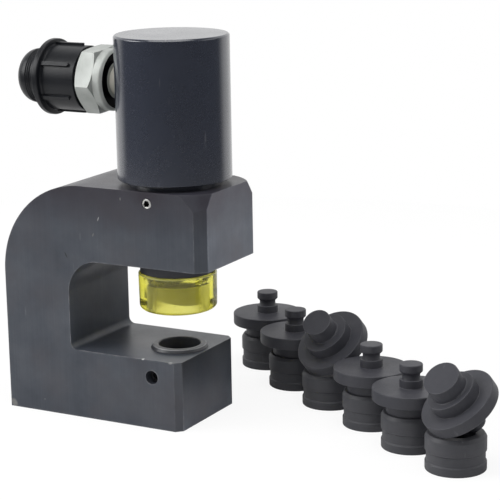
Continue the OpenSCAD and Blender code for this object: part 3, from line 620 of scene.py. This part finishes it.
def cap_shell():
    """The dust cap: a ribbed skirt, a flange and a grooved stub with a domed end."""
    groove = STUB_THREAD_L / STUB_GROOVES
    grooves = [
        (STUB_R - deep * STUB_GROOVE_DEPTH, STUB_THREAD_START + (turn + along) * groove, 0)
        for turn in range(STUB_GROOVES) for deep, along in STUB_GROOVE_SHARES]
    dome_start = STUB_THREAD_START + STUB_THREAD_L
    dome = []
    for step in range(DOME_STEPS + 1):
        angle = math.pi / 2 * step / DOME_STEPS
        dome.append((STUB_R - DOME_IN + DOME_IN * math.cos(angle), dome_start + DOME_L * math.sin(angle), 0))
    shape = turned((
        (CAP_INNER_R, SKIRT_START, 0), (SKIRT_R, SKIRT_START, CAP_EDGE / 2),
        (SKIRT_R, CAP_FLANGE_START, CAP_FILLET), (CAP_FLANGE_R, CAP_FLANGE_START, CAP_EDGE),
        (CAP_FLANGE_R, CAP_FLANGE_END, CAP_EDGE), (STUB_R, CAP_FLANGE_END, CAP_EDGE), *grooves, *dome,
        (0, dome_start + DOME_L, 0), (0, CAP_FLOOR, 0), (CAP_INNER_R, CAP_FLOOR, 0)), FINE_TURN_STEPS)
    for rib in range(RIB_COUNT):
        shape = combined(shape, cap_rib(rib * FULL_TURN / RIB_COUNT), "UNION")
    return shape


def set_screw(radius, length, point_r, point_l):
    """A socket set screw along +Z, with its socket at the origin."""
    shape = turned((
        (0, 0, 0), (radius, 0, SCREW_EDGE), (radius, length - point_l, 0), (point_r, length, 0),
        (0, length, 0)))
    socket = hexagon(2 * radius * SOCKET_SHARE, -OVERRUN, length * SOCKET_DEPTH_SHARE)
    return combined(shape, socket, "DIFFERENCE")


def coil(radius, wire, start, end, turns):
    """A spring along Z, wound from one round section of its wire."""
    shape = bmesh.new()
    upright = Matrix.Translation((radius, 0, start + wire / 2)) @ Matrix.Rotation(math.pi / 2, 4, "X")
    bmesh.ops.create_circle(shape, segments=SPRING_SIDES, radius=wire / 2, matrix=upright)
    steps = int(turns * SPRING_STEPS)
    rise = (end - start - wire) / steps
    bmesh.ops.spin(
        shape, geom=shape.verts[:] + shape.edges[:], cent=(0, 0, 0), axis=(0, 0, 1), dvec=(0, 0, rise),
        angle=turns * FULL_TURN, steps=steps, use_merge=False)
    bmesh.ops.holes_fill(shape, edges=[e for e in shape.edges if e.is_boundary], sides=SPRING_SIDES)
    return closed(shape)


# Shader steps

# The usual limits of a noise, which are spread over the range of a finish
NOISE_LOW = 0.3
NOISE_HIGH = 0.7
LINE_DETAIL = 3.0
MILLED_DETAIL = 2.0
MILLED_SCALE = 900
MILLED_STRETCH = 0.016
TURNED_SCALE = 2600
# Worn edges: the rounded normal's lean at a flat and at a sharp place, and the limits of the patches
EDGE_SAMPLES = 6
EDGE_FLAT = 0.985
EDGE_SHARP = 0.90
EDGE_PATCH_LIMITS = (0.35, 0.7)
# Scratches: their stretch and turn, how rare and how soft they are, and the patches that they come in
SCRATCH_STRETCH = (300, 300, 26)
SCRATCH_TURN = (0, 0.5, 0.2)
SCRATCH_RARE = 0.72
SCRATCH_SOFT = 0.03
SCRATCH_PATCHES = 40
SCRATCH_PATCH_LIMITS = (0.5, 0.65)
NICK_CORE = 0.5


def add(tree, kind, inputs=None, **settings):
    """One shader node, with each input set to a value or linked to another node's output."""
    made = tree.nodes.new("ShaderNode" + kind)
    for key, value in settings.items():
        setattr(made, key, value)
    for key, value in (inputs or {}).items():
        if isinstance(value, bpy.types.NodeSocket):
            tree.links.new(value, made.inputs[key])
        else:
            made.inputs[key].default_value = value
    return made


def new_finish(name, **sockets):
    """A material with its plain values set on the shader itself."""
    material = bpy.data.materials.new(name)
    material.use_nodes = True
    tree = material.node_tree
    shader = tree.nodes["Principled BSDF"]
    for key, value in sockets.items():
        shader.inputs[key.replace("_", " ")].default_value = value
    return material, tree, shader


def object_place(tree, scale=(1, 1, 1), turn=(0, 0, 0)):
    """Object coordinates, stretched and turned."""
    place = add(tree, "TexCoord").outputs["Object"]
    return add(tree, "Mapping", {"Vector": place, "Scale": scale, "Rotation": turn}).outputs["Vector"]


def object_axes(tree):
    """Object coordinates taken apart into X, Y and Z."""
    return add(tree, "SeparateXYZ", {"Vector": object_place(tree)}).outputs


def maths(tree, operation, a, b):
    """One step of arithmetic on two values."""
    return add(tree, "Math", {0: a, 1: b}, operation=operation).outputs["Value"]


def times(tree, a, b):
    """Two values or masks multiplied."""
    return maths(tree, "MULTIPLY", a, b)


def between(tree, value, low, high):
    """A mask for where a value lies between two limits."""
    return times(tree, maths(tree, "GREATER_THAN", value, low), maths(tree, "LESS_THAN", value, high))


def lathe_place(tree):
    """The distance to a turned piece's own axis, and the height along it."""
    lathe = add(tree, "Attribute", attribute_name="lathe").outputs["Vector"]
    across = add(tree, "VectorMath", {0: lathe, 1: (1, 1, 0)}, operation="MULTIPLY").outputs["Vector"]
    radius = add(tree, "VectorMath", {0: across}, operation="LENGTH").outputs["Value"]
    return radius, add(tree, "SeparateXYZ", {"Vector": lathe}).outputs["Z"]


def noise(tree, place, scale, detail=3.0, roughness=0.5):
    """Cloudy noise at a scale."""
    inputs = {"Vector": place, "Scale": scale, "Detail": detail, "Roughness": roughness}
    return add(tree, "TexNoise", inputs).outputs["Fac"]


def turning_marks(tree):
    """Fine lines that a lathe tool leaves round a piece."""
    radius, height = lathe_place(tree)
    inputs = {"W": maths(tree, "SUBTRACT", radius, height), "Scale": TURNED_SCALE, "Detail": LINE_DETAIL}
    return add(tree, "TexNoise", inputs, noise_dimensions="1D").outputs["Fac"]


def milling_marks(tree):
    """Fine upright lines that a milling cutter leaves on a block."""
    stretch = (MILLED_SCALE, MILLED_SCALE, MILLED_SCALE * MILLED_STRETCH)
    return noise(tree, object_place(tree, stretch), 1.0, MILLED_DETAIL)


def spread(tree, value, low, high, to_low=0.0, to_high=1.0):
    """A value's range moved to another, and held there."""
    inputs = {"Value": value, "From Min": low, "From Max": high, "To Min": to_low, "To Max": to_high}
    return add(tree, "MapRange", inputs).outputs["Result"]


def evened(tree, value, to_low=0.0, to_high=1.0):
    """The usual range of a noise moved to another."""
    return spread(tree, value, NOISE_LOW, NOISE_HIGH, to_low, to_high)


def mixed(tree, share, a, b):
    """Two colours mixed by a mask."""
    return add(tree, "Mix", {0: share, 6: a, 7: b}, data_type="RGBA").outputs[2]


def bumped(tree, height, strength, distance):
    """A surface normal roughened by a height."""
    return add(tree, "Bump", {"Height": height, "Strength": strength, "Distance": distance}).outputs["Normal"]


def worn_edges(tree, reach, place, patch_scale):
    """A mask along the edges of a piece, broken up as handling breaks it up."""
    rounded = add(tree, "Bevel", {"Radius": reach}, samples=EDGE_SAMPLES).outputs["Normal"]
    normal = add(tree, "NewGeometry").outputs["Normal"]
    facing = add(tree, "VectorMath", {0: rounded, 1: normal}, operation="DOT_PRODUCT").outputs["Value"]
    edge = spread(tree, facing, EDGE_FLAT, EDGE_SHARP)
    return times(tree, edge, spread(tree, noise(tree, place, patch_scale), *EDGE_PATCH_LIMITS))


def scratches(tree):
    """Sparse short scratches along one direction."""
    streaks = noise(tree, object_place(tree, SCRATCH_STRETCH, SCRATCH_TURN), 1.0, 1.0)
    marks = spread(tree, streaks, SCRATCH_RARE, SCRATCH_RARE + SCRATCH_SOFT)
    patches = noise(tree, object_place(tree), SCRATCH_PATCHES)
    return times(tree, marks, spread(tree, patches, *SCRATCH_PATCH_LIMITS))


def nick(tree, place, size, turn):
    """A mask for one small mark, strongest at its middle."""
    coords = add(tree, "TexCoord").outputs["Object"]
    inputs = {"Vector": coords, "Location": place, "Scale": size, "Rotation": turn}
    near = add(tree, "Mapping", inputs, vector_type="TEXTURE").outputs["Vector"]
    mark = add(tree, "TexGradient", {"Vector": near}, gradient_type="SPHERICAL").outputs["Fac"]
    return spread(tree, mark, 0.0, NICK_CORE)


# Finishes: a noise is given by its scale, its detail and its roughness, a bump by its strength and its depth

# Black oxide: the tool marks make a share of its tone, and the clouds the rest
STREAK_SHARE = 0.22
OXIDE_CLOUDS = (32, 5.0, 0.6)
OXIDE_CLOUD_LIMITS = (0.35, 0.68)
OXIDE_GRAIN = (1900, 2.0)
OXIDE_PATCHES = 160
OXIDE_REACH = 0.9 * MM
OXIDE_SCRATCHES = 0.3
OXIDE_SMOOTHER = 0.05
OXIDE_ROUGHER = 0.06
OXIDE_CLOUD_GLOSS = 0.04
OXIDE_GRAIN_HEIGHT = 0.5
OXIDE_BUMP = (0.25, 0.02 * MM)

# Frame: stains all over, and a warmer, darker band below its top
FRAME_REACH = 1.5 * MM
STAINS = (26, 6.0, 0.65)
STAIN_LIMITS = (0.45, 0.68)
STAIN_SHARE = 0.6
STAIN = (0.052, 0.049, 0.058, 1)
BAND_PATCHES = (45, 4.0)
BAND_LEAST = 0.5
BAND_START = 26 * MM
BAND_FULL = 4 * MM
BAND = (0.026, 0.022, 0.031, 1)
# Marks on the near side: X, height, half length and half width in mm, lean from upright, and brightness
SIDE_NICKS = (
    (8, 120.9, 1.6, 0.35, 0.35, 0.32), (23.4, 133.8, 1.2, 0.4, 0, 0.16), (4.1, 111.2, 1.4, 0.5, 0.4, 0.13),
    (-15.2, 97.5, 2.2, 0.5, -0.5, 0.012), (35.1, 41, 0.7, 1.0, 0, 0.5), (53.4, 41, 1.0, 1.6, 0, 0.25),
    (-57, 2.2, 2.4, 3.4, 0.9, 0.16), (-34.6, 7.4, 0.5, 0.5, 0, 0.15))
NICK_DEPTH = 2 * MM
# Painted light and shade on the front ends: the upper one painted lighter, as a painted reflection of the
# bright room, and the lower one painted darker at its top, as painted shade under the upper arm, and paler at
# its foot, as a painted reflection of the floor
END_SKIN = 0.3 * MM
UPPER_END_PAINTED_LIGHT = 1.0
LOWER_END_TOP_PAINTED_SHADE = -0.6
LOWER_END_FOOT_PAINTED_LIGHT = 0.7

# Painted shade in the hollows, and the bright share at the top of the bevel of the die in the machine, which
# is a painted highlight and partly a worn edge
PAINTED_RECESS_SHADE = (0.012, 0.012, 0.014, 1)
RUBBED_HIGHLIGHT = (0.24, 0.24, 0.245, 1)
RUBBED_HIGHLIGHT_SHARE = 0.3

# Metals and mouldings
SMOOTHER = 0.06
ROUGHER = 0.08
METAL_CLOUDS = (90, 4.0)
METAL_GRAIN = (1500, 2.0)
METAL_MARK_LIMITS = (0.25, 0.75)
METAL_BUMP = (0.2, 0.02 * MM)
MOULDED_CLOUDS = (60, 4.0)
MOULDED_GRAIN = (1400, 2.0)
TAPE_GRAIN = (700, 2.0)
MOULDED_REACH = 0.6 * MM
MOULDED_PATCHES = 200
MOULDED_WEAR = 0.25
MOULDED_WORN = (0.12, 0.12, 0.125, 1)
MOULDED_BUMP = (0.3, 0.03 * MM)

# Urethane: how clear and how rough it is at its skin, its frosted bore and its rim, and its colour in depth
URETHANE_IOR = 1.4
FLOW_STRETCH = (60, 60, 150)
FLOW_DETAIL = 3.0
FLOW_BUMP = (0.15, 0.1 * MM)
URETHANE_GRAIN = (900, 2.0)
URETHANE_DEEP = (0.91, 0.87, 0.26, 1)
URETHANE_PALE = (0.98, 0.95, 0.37, 1)
BORE_FROST = 0.5
SKIN_CLEAR = 0.96
RIM_CLEAR = 0.4
SKIN_ROUGHNESS = (0.08, 0.2)
BORE_ROUGHNESS = 0.4
DEPTH_COLOUR = (0.93, 0.92, 0.36, 1)
DEPTH_DENSITY = 48.0


def oxide_finish(name, dark, light, bare, roughness, lines, wear, reach=OXIDE_REACH, **sockets):
    """Black oxide on machined steel: clouded, with tool marks and scratches, and bare metal at its edges."""
    material, tree, shader = new_finish(name, **sockets)
    place = object_place(tree)
    clouds = noise(tree, place, *OXIDE_CLOUDS)
    grain = noise(tree, place, *OXIDE_GRAIN)
    streaks = times(tree, evened(tree, lines(tree)), STREAK_SHARE)
    cloudy = times(tree, spread(tree, clouds, *OXIDE_CLOUD_LIMITS), 1 - STREAK_SHARE)
    colour = mixed(tree, maths(tree, "ADD", cloudy, streaks), dark, light)
    worn = times(tree, worn_edges(tree, reach, place, OXIDE_PATCHES), wear)
    marks = times(tree, scratches(tree), OXIDE_SCRATCHES)
    colour = mixed(tree, maths(tree, "MAXIMUM", worn, marks), colour, bare)
    tree.links.new(colour, shader.inputs["Base Color"])
    grainy = evened(tree, grain, roughness - OXIDE_SMOOTHER, roughness + OXIDE_ROUGHER)
    gloss = evened(tree, clouds, OXIDE_CLOUD_GLOSS, -OXIDE_CLOUD_GLOSS)
    tree.links.new(maths(tree, "ADD", grainy, gloss), shader.inputs["Roughness"])
    height = maths(tree, "ADD", times(tree, grain, OXIDE_GRAIN_HEIGHT), streaks)
    tree.links.new(bumped(tree, height, *OXIDE_BUMP), shader.inputs["Normal"])
    return material


def painted_end_shading(tree):
    """Painted light and shade: how much lighter or darker than the rest the two front ends of the frame are
    painted.
    """
    along, _, height = object_axes(tree)
    upper_end = maths(tree, "GREATER_THAN", along, FRAME_HIGH.x - END_SKIN)
    lower_end = times(tree, maths(tree, "GREATER_THAN", along, -FRAME_LOW.x - END_SKIN),
                      maths(tree, "LESS_THAN", height, BASE_H + FIT))
    # Painted shade at the top of the lower end, painted reflected light at its foot.
    lower_end_painted_shading = spread(tree, height, 0.0, BASE_H, LOWER_END_FOOT_PAINTED_LIGHT, LOWER_END_TOP_PAINTED_SHADE)
    tone = maths(tree, "ADD", times(tree, upper_end, UPPER_END_PAINTED_LIGHT), times(tree, lower_end, lower_end_painted_shading))
    return maths(tree, "ADD", tone, 1.0)


def frame_finish():
    """The frame's oxide, darker and warmer along its top, with painted light and shade on its front ends and
    the marks of use on its near side.
    """
    material = oxide_finish(
        "frame_black_oxide", dark=(0.033, 0.040, 0.055, 1), light=(0.067, 0.075, 0.091, 1),
        bare=(0.24, 0.24, 0.25, 1), roughness=0.36, lines=milling_marks, wear=0.7, reach=FRAME_REACH)
    tree = material.node_tree
    base = tree.nodes["Principled BSDF"].inputs["Base Color"]
    stains = spread(tree, noise(tree, object_place(tree), *STAINS), *STAIN_LIMITS, 0.0, STAIN_SHARE)
    colour = mixed(tree, stains, base.links[0].from_socket, STAIN)
    height = object_axes(tree)["Z"]
    patchy = evened(tree, noise(tree, object_place(tree), *BAND_PATCHES), BAND_LEAST, 1.0)
    band = spread(tree, height, FRAME_HIGH.z - BAND_START, FRAME_HIGH.z - BAND_FULL)
    colour = mixed(tree, times(tree, band, patchy), colour, BAND)
    # Painted light and shade: the colour is scaled lighter on the upper front end, darker at the top of the
    # lower one and lighter at its foot.
    painted_end_light_and_shade = add(tree, "VectorMath", {0: colour, "Scale": painted_end_shading(tree)}, operation="SCALE")
    colour = painted_end_light_and_shade.outputs["Vector"]
    for x, z, length, width, lean_angle, bright in SIDE_NICKS:
        place = (x * MM, FRAME_LOW.y, z * MM)
        mark = nick(tree, place, (width * MM, NICK_DEPTH, length * MM), (0, lean_angle, 0))
        colour = mixed(tree, mark, colour, (bright, bright, bright, 1))
    tree.links.new(colour, base)
    return material


def metal_finish(name, dull, bright, roughness, lines=None):
    """Bare or plated metal with clouded colour and fine tool marks."""
    material, tree, shader = new_finish(name, Metallic=1.0)
    place = object_place(tree)
    clouds = noise(tree, place, *METAL_CLOUDS)
    marks = lines(tree) if lines else noise(tree, place, *METAL_GRAIN)
    tree.links.new(mixed(tree, evened(tree, clouds), dull, bright), shader.inputs["Base Color"])
    rough = spread(tree, marks, *METAL_MARK_LIMITS, roughness - SMOOTHER, roughness + ROUGHER)
    tree.links.new(rough, shader.inputs["Roughness"])
    tree.links.new(bumped(tree, marks, *METAL_BUMP), shader.inputs["Normal"])
    return material


def ringed(material, tint, inner, outer, start, end):
    """A band of another colour on a turned piece, between two radii and two heights. Returns the material."""
    tree = material.node_tree
    base = tree.nodes["Principled BSDF"].inputs["Base Color"]
    radius, height = lathe_place(tree)
    band = times(tree, between(tree, radius, inner, outer), between(tree, height, start, end))
    tree.links.new(mixed(tree, band, base.links[0].from_socket, tint), base)
    return material


def moulded_finish(name, dark, light, roughness, grain=MOULDED_GRAIN, **sockets):
    """Moulded plastic or rubber with a fine grain."""
    material, tree, shader = new_finish(name, **sockets)
    place = object_place(tree)
    clouds = noise(tree, place, *MOULDED_CLOUDS)
    fine = noise(tree, place, *grain)
    worn = times(tree, worn_edges(tree, MOULDED_REACH, place, MOULDED_PATCHES), MOULDED_WEAR)
    colour = mixed(tree, evened(tree, clouds), dark, light)
    tree.links.new(mixed(tree, worn, colour, MOULDED_WORN), shader.inputs["Base Color"])
    tree.links.new(evened(tree, fine, roughness - SMOOTHER, roughness + ROUGHER), shader.inputs["Roughness"])
    tree.links.new(bumped(tree, fine, *MOULDED_BUMP), shader.inputs["Normal"])
    return material


def urethane_finish():
    """Clear yellow cast urethane: coloured in its depth, with faint flow lines and a frosted bore and rim."""
    material, tree, shader = new_finish("yellow_urethane", IOR=URETHANE_IOR)
    place = object_place(tree)
    flow = noise(tree, object_place(tree, FLOW_STRETCH), 1.0, FLOW_DETAIL)
    grain = noise(tree, place, *URETHANE_GRAIN)
    tree.links.new(mixed(tree, evened(tree, flow), URETHANE_DEEP, URETHANE_PALE), shader.inputs["Base Color"])
    radius, height = lathe_place(tree)
    bore = maths(tree, "LESS_THAN", radius, STRIPPER_BORE_R + FIT)
    rim = times(tree, maths(tree, "GREATER_THAN", height, STRIPPER_HIGH.z - STRIPPER_EDGE),
                maths(tree, "GREATER_THAN", radius, half_width("stripper") - STRIPPER_EDGE))
    frosted = maths(tree, "MAXIMUM", times(tree, bore, BORE_FROST), rim)
    clear = spread(tree, frosted, 0.0, 1.0, SKIN_CLEAR, RIM_CLEAR)
    tree.links.new(clear, shader.inputs["Transmission Weight"])
    rough = maths(tree, "ADD", evened(tree, grain, *SKIN_ROUGHNESS), times(tree, bore, BORE_ROUGHNESS))
    tree.links.new(rough, shader.inputs["Roughness"])
    tree.links.new(bumped(tree, flow, *FLOW_BUMP), shader.inputs["Normal"])
    depth = add(tree, "VolumeAbsorption", {"Color": DEPTH_COLOUR, "Density": DEPTH_DENSITY})
    tree.links.new(depth.outputs[0], tree.nodes["Material Output"].inputs["Volume"])
    return material


FRAME_OXIDE = frame_finish()
BARREL_BLACK = oxide_finish(
    "barrel_black", dark=(0.017, 0.021, 0.035, 1), light=(0.027, 0.032, 0.048, 1), bare=(0.20, 0.20, 0.21, 1),
    roughness=0.22, lines=turning_marks, wear=0.3, IOR=1.7, Coat_Weight=0.33, Coat_Roughness=0.12)
TOOL_BLACK = oxide_finish(
    "tool_black_oxide", dark=(0.035, 0.036, 0.045, 1), light=(0.059, 0.059, 0.068, 1),
    bare=(0.17, 0.17, 0.18, 1), roughness=0.5, lines=turning_marks, wear=0.7, IOR=1.4)
SET_DIE_BLACK = oxide_finish(
    "set_die_black_oxide", dark=(0.046, 0.047, 0.055, 1), light=(0.074, 0.074, 0.082, 1),
    bare=(0.19, 0.19, 0.20, 1), roughness=0.5, lines=turning_marks, wear=0.7, IOR=1.4)
DIE_OXIDE = oxide_finish(
    "die_black_oxide", dark=(0.036, 0.037, 0.044, 1), light=(0.056, 0.057, 0.064, 1),
    bare=(0.30, 0.30, 0.31, 1), roughness=0.38, lines=turning_marks, wear=0.8)
# Painted highlight, partly a worn edge: a bright ring at the top of the die's bevel.
DIE_BLACK = ringed(
    DIE_OXIDE, RUBBED_HIGHLIGHT, inner=DIE_R - DIE_BEVEL_W - FIT, outer=DIE_R,
    start=DIE_H - DIE_BEVEL_H * RUBBED_HIGHLIGHT_SHARE, end=DIE_H + FIT)
SCREW_BLACK = oxide_finish(
    "screw_black", dark=(0.030, 0.030, 0.034, 1), light=(0.045, 0.045, 0.050, 1), bare=(0.20, 0.20, 0.20, 1),
    roughness=0.42, lines=turning_marks, wear=0.5)
SCREW_PLATE = metal_finish(
    "screw_bright", dull=(0.62, 0.62, 0.60, 1), bright=(0.80, 0.80, 0.78, 1), roughness=0.4,
    lines=turning_marks)
# Painted shade in the screw's hex socket.
SCREW_BRIGHT = ringed(
    SCREW_PLATE, PAINTED_RECESS_SHADE, inner=-FIT, outer=SOCKET_SHADE_R, start=FIT, end=SOCKET_SHADE_L)
ZINC_PLATE = metal_finish(
    "zinc_plate", dull=(0.47, 0.49, 0.47, 1), bright=(0.61, 0.63, 0.61, 1), roughness=0.68,
    lines=turning_marks)
# Painted shade in the coupler's rear recess.
ZINC = ringed(
    ZINC_PLATE, PAINTED_RECESS_SHADE, inner=REAR_LAND_R - FIT, outer=REAR_RIM_R + FIT,
    start=COLLAR_START - FIT, end=COLLAR_START + REAR_DEPTH + FIT)
GROUND_STEEL = metal_finish(
    "ground_steel", dull=(0.50, 0.51, 0.52, 1), bright=(0.60, 0.61, 0.62, 1), roughness=0.22)
SPRING_WIRE = metal_finish(
    "spring_wire", dull=(0.26, 0.26, 0.27, 1), bright=(0.36, 0.35, 0.35, 1), roughness=0.38)
BEARING_BRONZE = metal_finish(
    "bearing_bronze", dull=(0.45, 0.26, 0.11, 1), bright=(0.56, 0.34, 0.15, 1), roughness=0.35)
SEAL_GREEN = moulded_finish(
    "seal_green", dark=(0.07, 0.12, 0.09, 1), light=(0.10, 0.16, 0.12, 1), roughness=0.5)
SEAL_IVORY = moulded_finish(
    "seal_ivory", dark=(0.62, 0.58, 0.46, 1), light=(0.70, 0.66, 0.54, 1), roughness=0.5)
SEAL_BROWN = moulded_finish(
    "seal_brown", dark=(0.18, 0.08, 0.04, 1), light=(0.24, 0.11, 0.05, 1), roughness=0.5)
RUBBER = moulded_finish(
    "black_rubber", dark=(0.018, 0.018, 0.019, 1), light=(0.028, 0.028, 0.029, 1), roughness=0.6)
CAP_PLASTIC = moulded_finish(
    "cap_plastic", dark=(0.006, 0.007, 0.009, 1), light=(0.011, 0.012, 0.015, 1), roughness=0.36, IOR=1.36)
TAPE_WHITE = moulded_finish(
    "thread_tape", dark=(0.60, 0.58, 0.50, 1), light=(0.74, 0.72, 0.64, 1), roughness=0.55, grain=TAPE_GRAIN)
URETHANE = urethane_finish()


# The pieces in their places


def machine():
    """The frame, the cylinder and what they carry."""
    piece("frame_body", "c_frame", milled_frame(), FRAME_OXIDE, edge=FRAME_EDGE)
    piece("cylinder_barrel", "cylinder", barrel(), BARREL_BLACK)
    punch_place = Matrix.Translation((AXIS_X, 0, RAM_FOOT))
    piece("ram_punch", "punch", punch(TIP_R), TOOL_BLACK, punch_place)
    sleeve = piece("stripper_sleeve", "stripper", stripper_sleeve(), URETHANE, ON_AXIS)
    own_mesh(sleeve)
    piece("frame_die", "die", die_ring(TIP_R), DIE_BLACK, Matrix.Translation((AXIS_X, 0, DIE_LOW.z)))


def screws():
    """The two socket set screws in the frame's side."""
    for name, node, finish, point_share in (
            ("barrel_lock_screw", "cylinder_lock_screw", SCREW_BRIGHT, LOCK_POINT_SHARE),
            ("die_set_screw", "die_lock_screw", SCREW_BLACK, DIE_POINT_SHARE)):
        low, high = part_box(node)
        radius = half_width(node)
        point_l = SCREW_EDGE if node == "cylinder_lock_screw" else radius
        place = Matrix.Translation((AXIS_X, low.y, middle(node).z)) @ INTO_SIDE
        piece(name, node, set_screw(radius, high.y - low.y, radius * point_share, point_l), finish, place)


def coupling():
    """The nipple, the coupler half and its dust cap."""
    piece("port_nipple", "coupler_nipple", pipe_nipple(), TAPE_WHITE, AT_PORT)
    piece("coupler_half", "coupler_body", coupler_half(), ZINC, AT_PORT, edge=ZINC_EDGE)
    piece("coupler_dust_cap", "dust_cap", cap_shell(), CAP_PLASTIC, AT_PORT, edge=CAP_EDGE / 3)


def springs():
    """The ram's return spring and the spring behind the poppet, each with a mesh of its own."""
    low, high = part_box("return_spring")
    shape = coil(RETURN_COIL_R, RETURN_WIRE, low.z, high.z, RETURN_TURNS)
    spring = piece("ram_return_spring", "return_spring", shape, SPRING_WIRE, ON_AXIS)
    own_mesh(spring)
    low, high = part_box("poppet_spring")
    wall = AXIS_X - BARREL_R
    shape = coil(VALVE_COIL_R, VALVE_WIRE, wall - high.x, wall - low.x, VALVE_TURNS)
    spring = piece("valve_spring", "poppet_spring", shape, SPRING_WIRE, AT_PORT)
    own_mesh(spring)


def lean(number):
    """How a punch lies upside down on its die, with its flange on the die's rim."""
    tilt_degrees, heading_degrees, aside_share = LEANING[number]
    tilt = math.radians(tilt_degrees)
    heading = math.radians(heading_degrees)
    seat = FLANGE_R - TOOL_EDGE
    ahead = DIE_R - DIE_BEVEL_W - LEAN_IN - seat * math.cos(tilt)
    aside = aside_share * 2 * DIE_R
    height = DIE_H + seat * math.sin(tilt) + LEAN_GAP / math.cos(tilt)
    upside_down = Matrix.Rotation(LEAN_TURN, 4, "Z") @ Matrix.Rotation(math.pi, 4, "X")
    tilted = Matrix.Translation((ahead, aside, height)) @ Matrix.Rotation(tilt, 4, "Y") @ upside_down
    return Matrix.Rotation(heading, 4, "Z") @ tilted


def loose_sets():
    """Six punches on their dies, in a row beside the machine."""
    for number, share in enumerate(SET_TIPS, 1):
        tip = TIP_R * share
        centre = middle(f"die_{number}")
        standing = Matrix.Translation((centre.x, centre.y, 0))
        piece(f"set_{number}_die", f"die_{number}", die_ring(tip), SET_DIE_BLACK, standing)
        seat = lean(number) if number in LEANING else Matrix.Translation((0, 0, DIE_H + BOSS_H + FLANGE_T))
        piece(f"set_{number}_punch", f"punch_{number}", punch(tip), TOOL_BLACK, standing @ seat)


def inner_finishes():
    """Finishes for the solids that are shown as they are."""
    for node, finish in (
            ("ram", GROUND_STEEL), ("piston", GROUND_STEEL), ("piston_screw", SCREW_BLACK),
            ("piston_seal", SEAL_GREEN), ("piston_backup_ring", SEAL_IVORY), ("piston_wear_ring", SEAL_BROWN),
            ("guide_bush", BEARING_BRONZE), ("rod_wiper", SEAL_GREEN), ("punch_grub_screw", SCREW_BLACK),
            ("coupler_poppet", GROUND_STEEL), ("coupler_oring", RUBBER), ("cap_seal", RUBBER)):
        materials = frame["nodes"][node].data.materials
        materials.clear()
        materials.append(finish)


# Light and floor

FLOOR_R = 0.62
FLOOR_STEPS = 96
FLOOR_WHITE = 0.7
FLOOR_SHADOW_SHARE = 0.12
WORLD_LIGHT = 0.48
DARK_FRONT = 0.09
# How far behind the object the white ends and the dark begins, as cosines from the camera's direction
WHITE_BEHIND = -0.55
DARK_AHEAD = -0.3
WHITE = (1, 1, 1, 1)
LAMP_AIM_Z = 80 * MM
# Lamps: place and side in metres, and power in watts
LAMPS = {
    "top_lamp": ((0.1, -0.3, 1.3), 1.0, 9),
    "left_lamp": ((-1.0, -0.7, 0.8), 0.8, 12),
    "right_lamp": ((1.1, 0.5, 0.8), 0.8, 3)}


def seen_straight(tree):
    """A mask for what the camera sees straight or through something clear."""
    path = add(tree, "LightPath").outputs
    return maths(tree, "MAXIMUM", path["Is Camera Ray"], path["Is Transmission Ray"])


def studio_world():
    """White all round for the camera, white behind and dark ahead in a gloss, and softer as light."""
    world = bpy.data.worlds.new("studio")
    bpy.context.scene.world = world
    world.use_nodes = True
    tree = world.node_tree
    tree.nodes.clear()
    direction = add(tree, "TexCoord").outputs["Generated"]
    front = (math.sin(CAMERA_TURN), -math.cos(CAMERA_TURN), 0)
    towards = add(tree, "VectorMath", {0: direction, 1: front}, operation="DOT_PRODUCT").outputs["Value"]
    shade = spread(tree, towards, WHITE_BEHIND, DARK_AHEAD, 1.0, DARK_FRONT)
    gloss = add(tree, "Background", {"Color": WHITE, "Strength": shade})
    white = add(tree, "Background", {"Color": WHITE, "Strength": 1.0})
    soft = add(tree, "Background", {"Color": WHITE, "Strength": WORLD_LIGHT})
    glossy = add(tree, "LightPath").outputs["Is Glossy Ray"]
    lit = add(tree, "MixShader", {0: glossy, 1: soft.outputs[0], 2: gloss.outputs[0]})
    out = add(tree, "MixShader", {0: seen_straight(tree), 1: lit.outputs[0], 2: white.outputs[0]})
    add(tree, "OutputWorld", {"Surface": out.outputs[0]})


def studio_floor():
    """A pale round floor that keeps a faint shadow."""
    shape = bmesh.new()
    bmesh.ops.create_circle(shape, cap_ends=True, segments=FLOOR_STEPS, radius=FLOOR_R)
    mesh = bpy.data.meshes.new("studio_floor")
    shape.to_mesh(mesh)
    shape.free()
    floor = bpy.data.objects.new("studio_floor", mesh)
    bpy.context.scene.collection.objects.link(floor)
    material, tree, shader = new_finish("studio_white")
    tree.nodes.remove(shader)
    matt = add(tree, "BsdfDiffuse", {"Color": (FLOOR_WHITE, FLOOR_WHITE, FLOOR_WHITE, 1)})
    paper = add(tree, "BsdfDiffuse", {"Color": WHITE})
    glow = add(tree, "Emission", {"Color": WHITE, "Strength": 1.0})
    white = add(tree, "MixShader", {0: FLOOR_SHADOW_SHARE, 1: glow.outputs[0], 2: paper.outputs[0]})
    out = add(tree, "MixShader", {0: seen_straight(tree), 1: matt.outputs[0], 2: white.outputs[0]})
    tree.links.new(out.outputs[0], tree.nodes["Material Output"].inputs["Surface"])
    mesh.materials.append(material)


def studio_lamps():
    """Soft square lamps from above, from the left and from the right, behind the sets."""
    aim = Vector((AXIS_X, 0, LAMP_AIM_Z))
    for name, (place, side, watts) in LAMPS.items():
        data = bpy.data.lights.new(name, "AREA")
        data.size = side
        data.energy = watts
        lamp = bpy.data.objects.new(name, data)
        bpy.context.scene.collection.objects.link(lamp)
        lamp.location = place
        lamp.rotation_euler = (aim - Vector(place)).to_track_quat("-Z", "Y").to_euler()


machine()
screws()
coupling()
springs()
loose_sets()
inner_finishes()
studio_world()
studio_floor()
studio_lamps()
bpy.context.scene.view_settings.view_transform = "Standard"
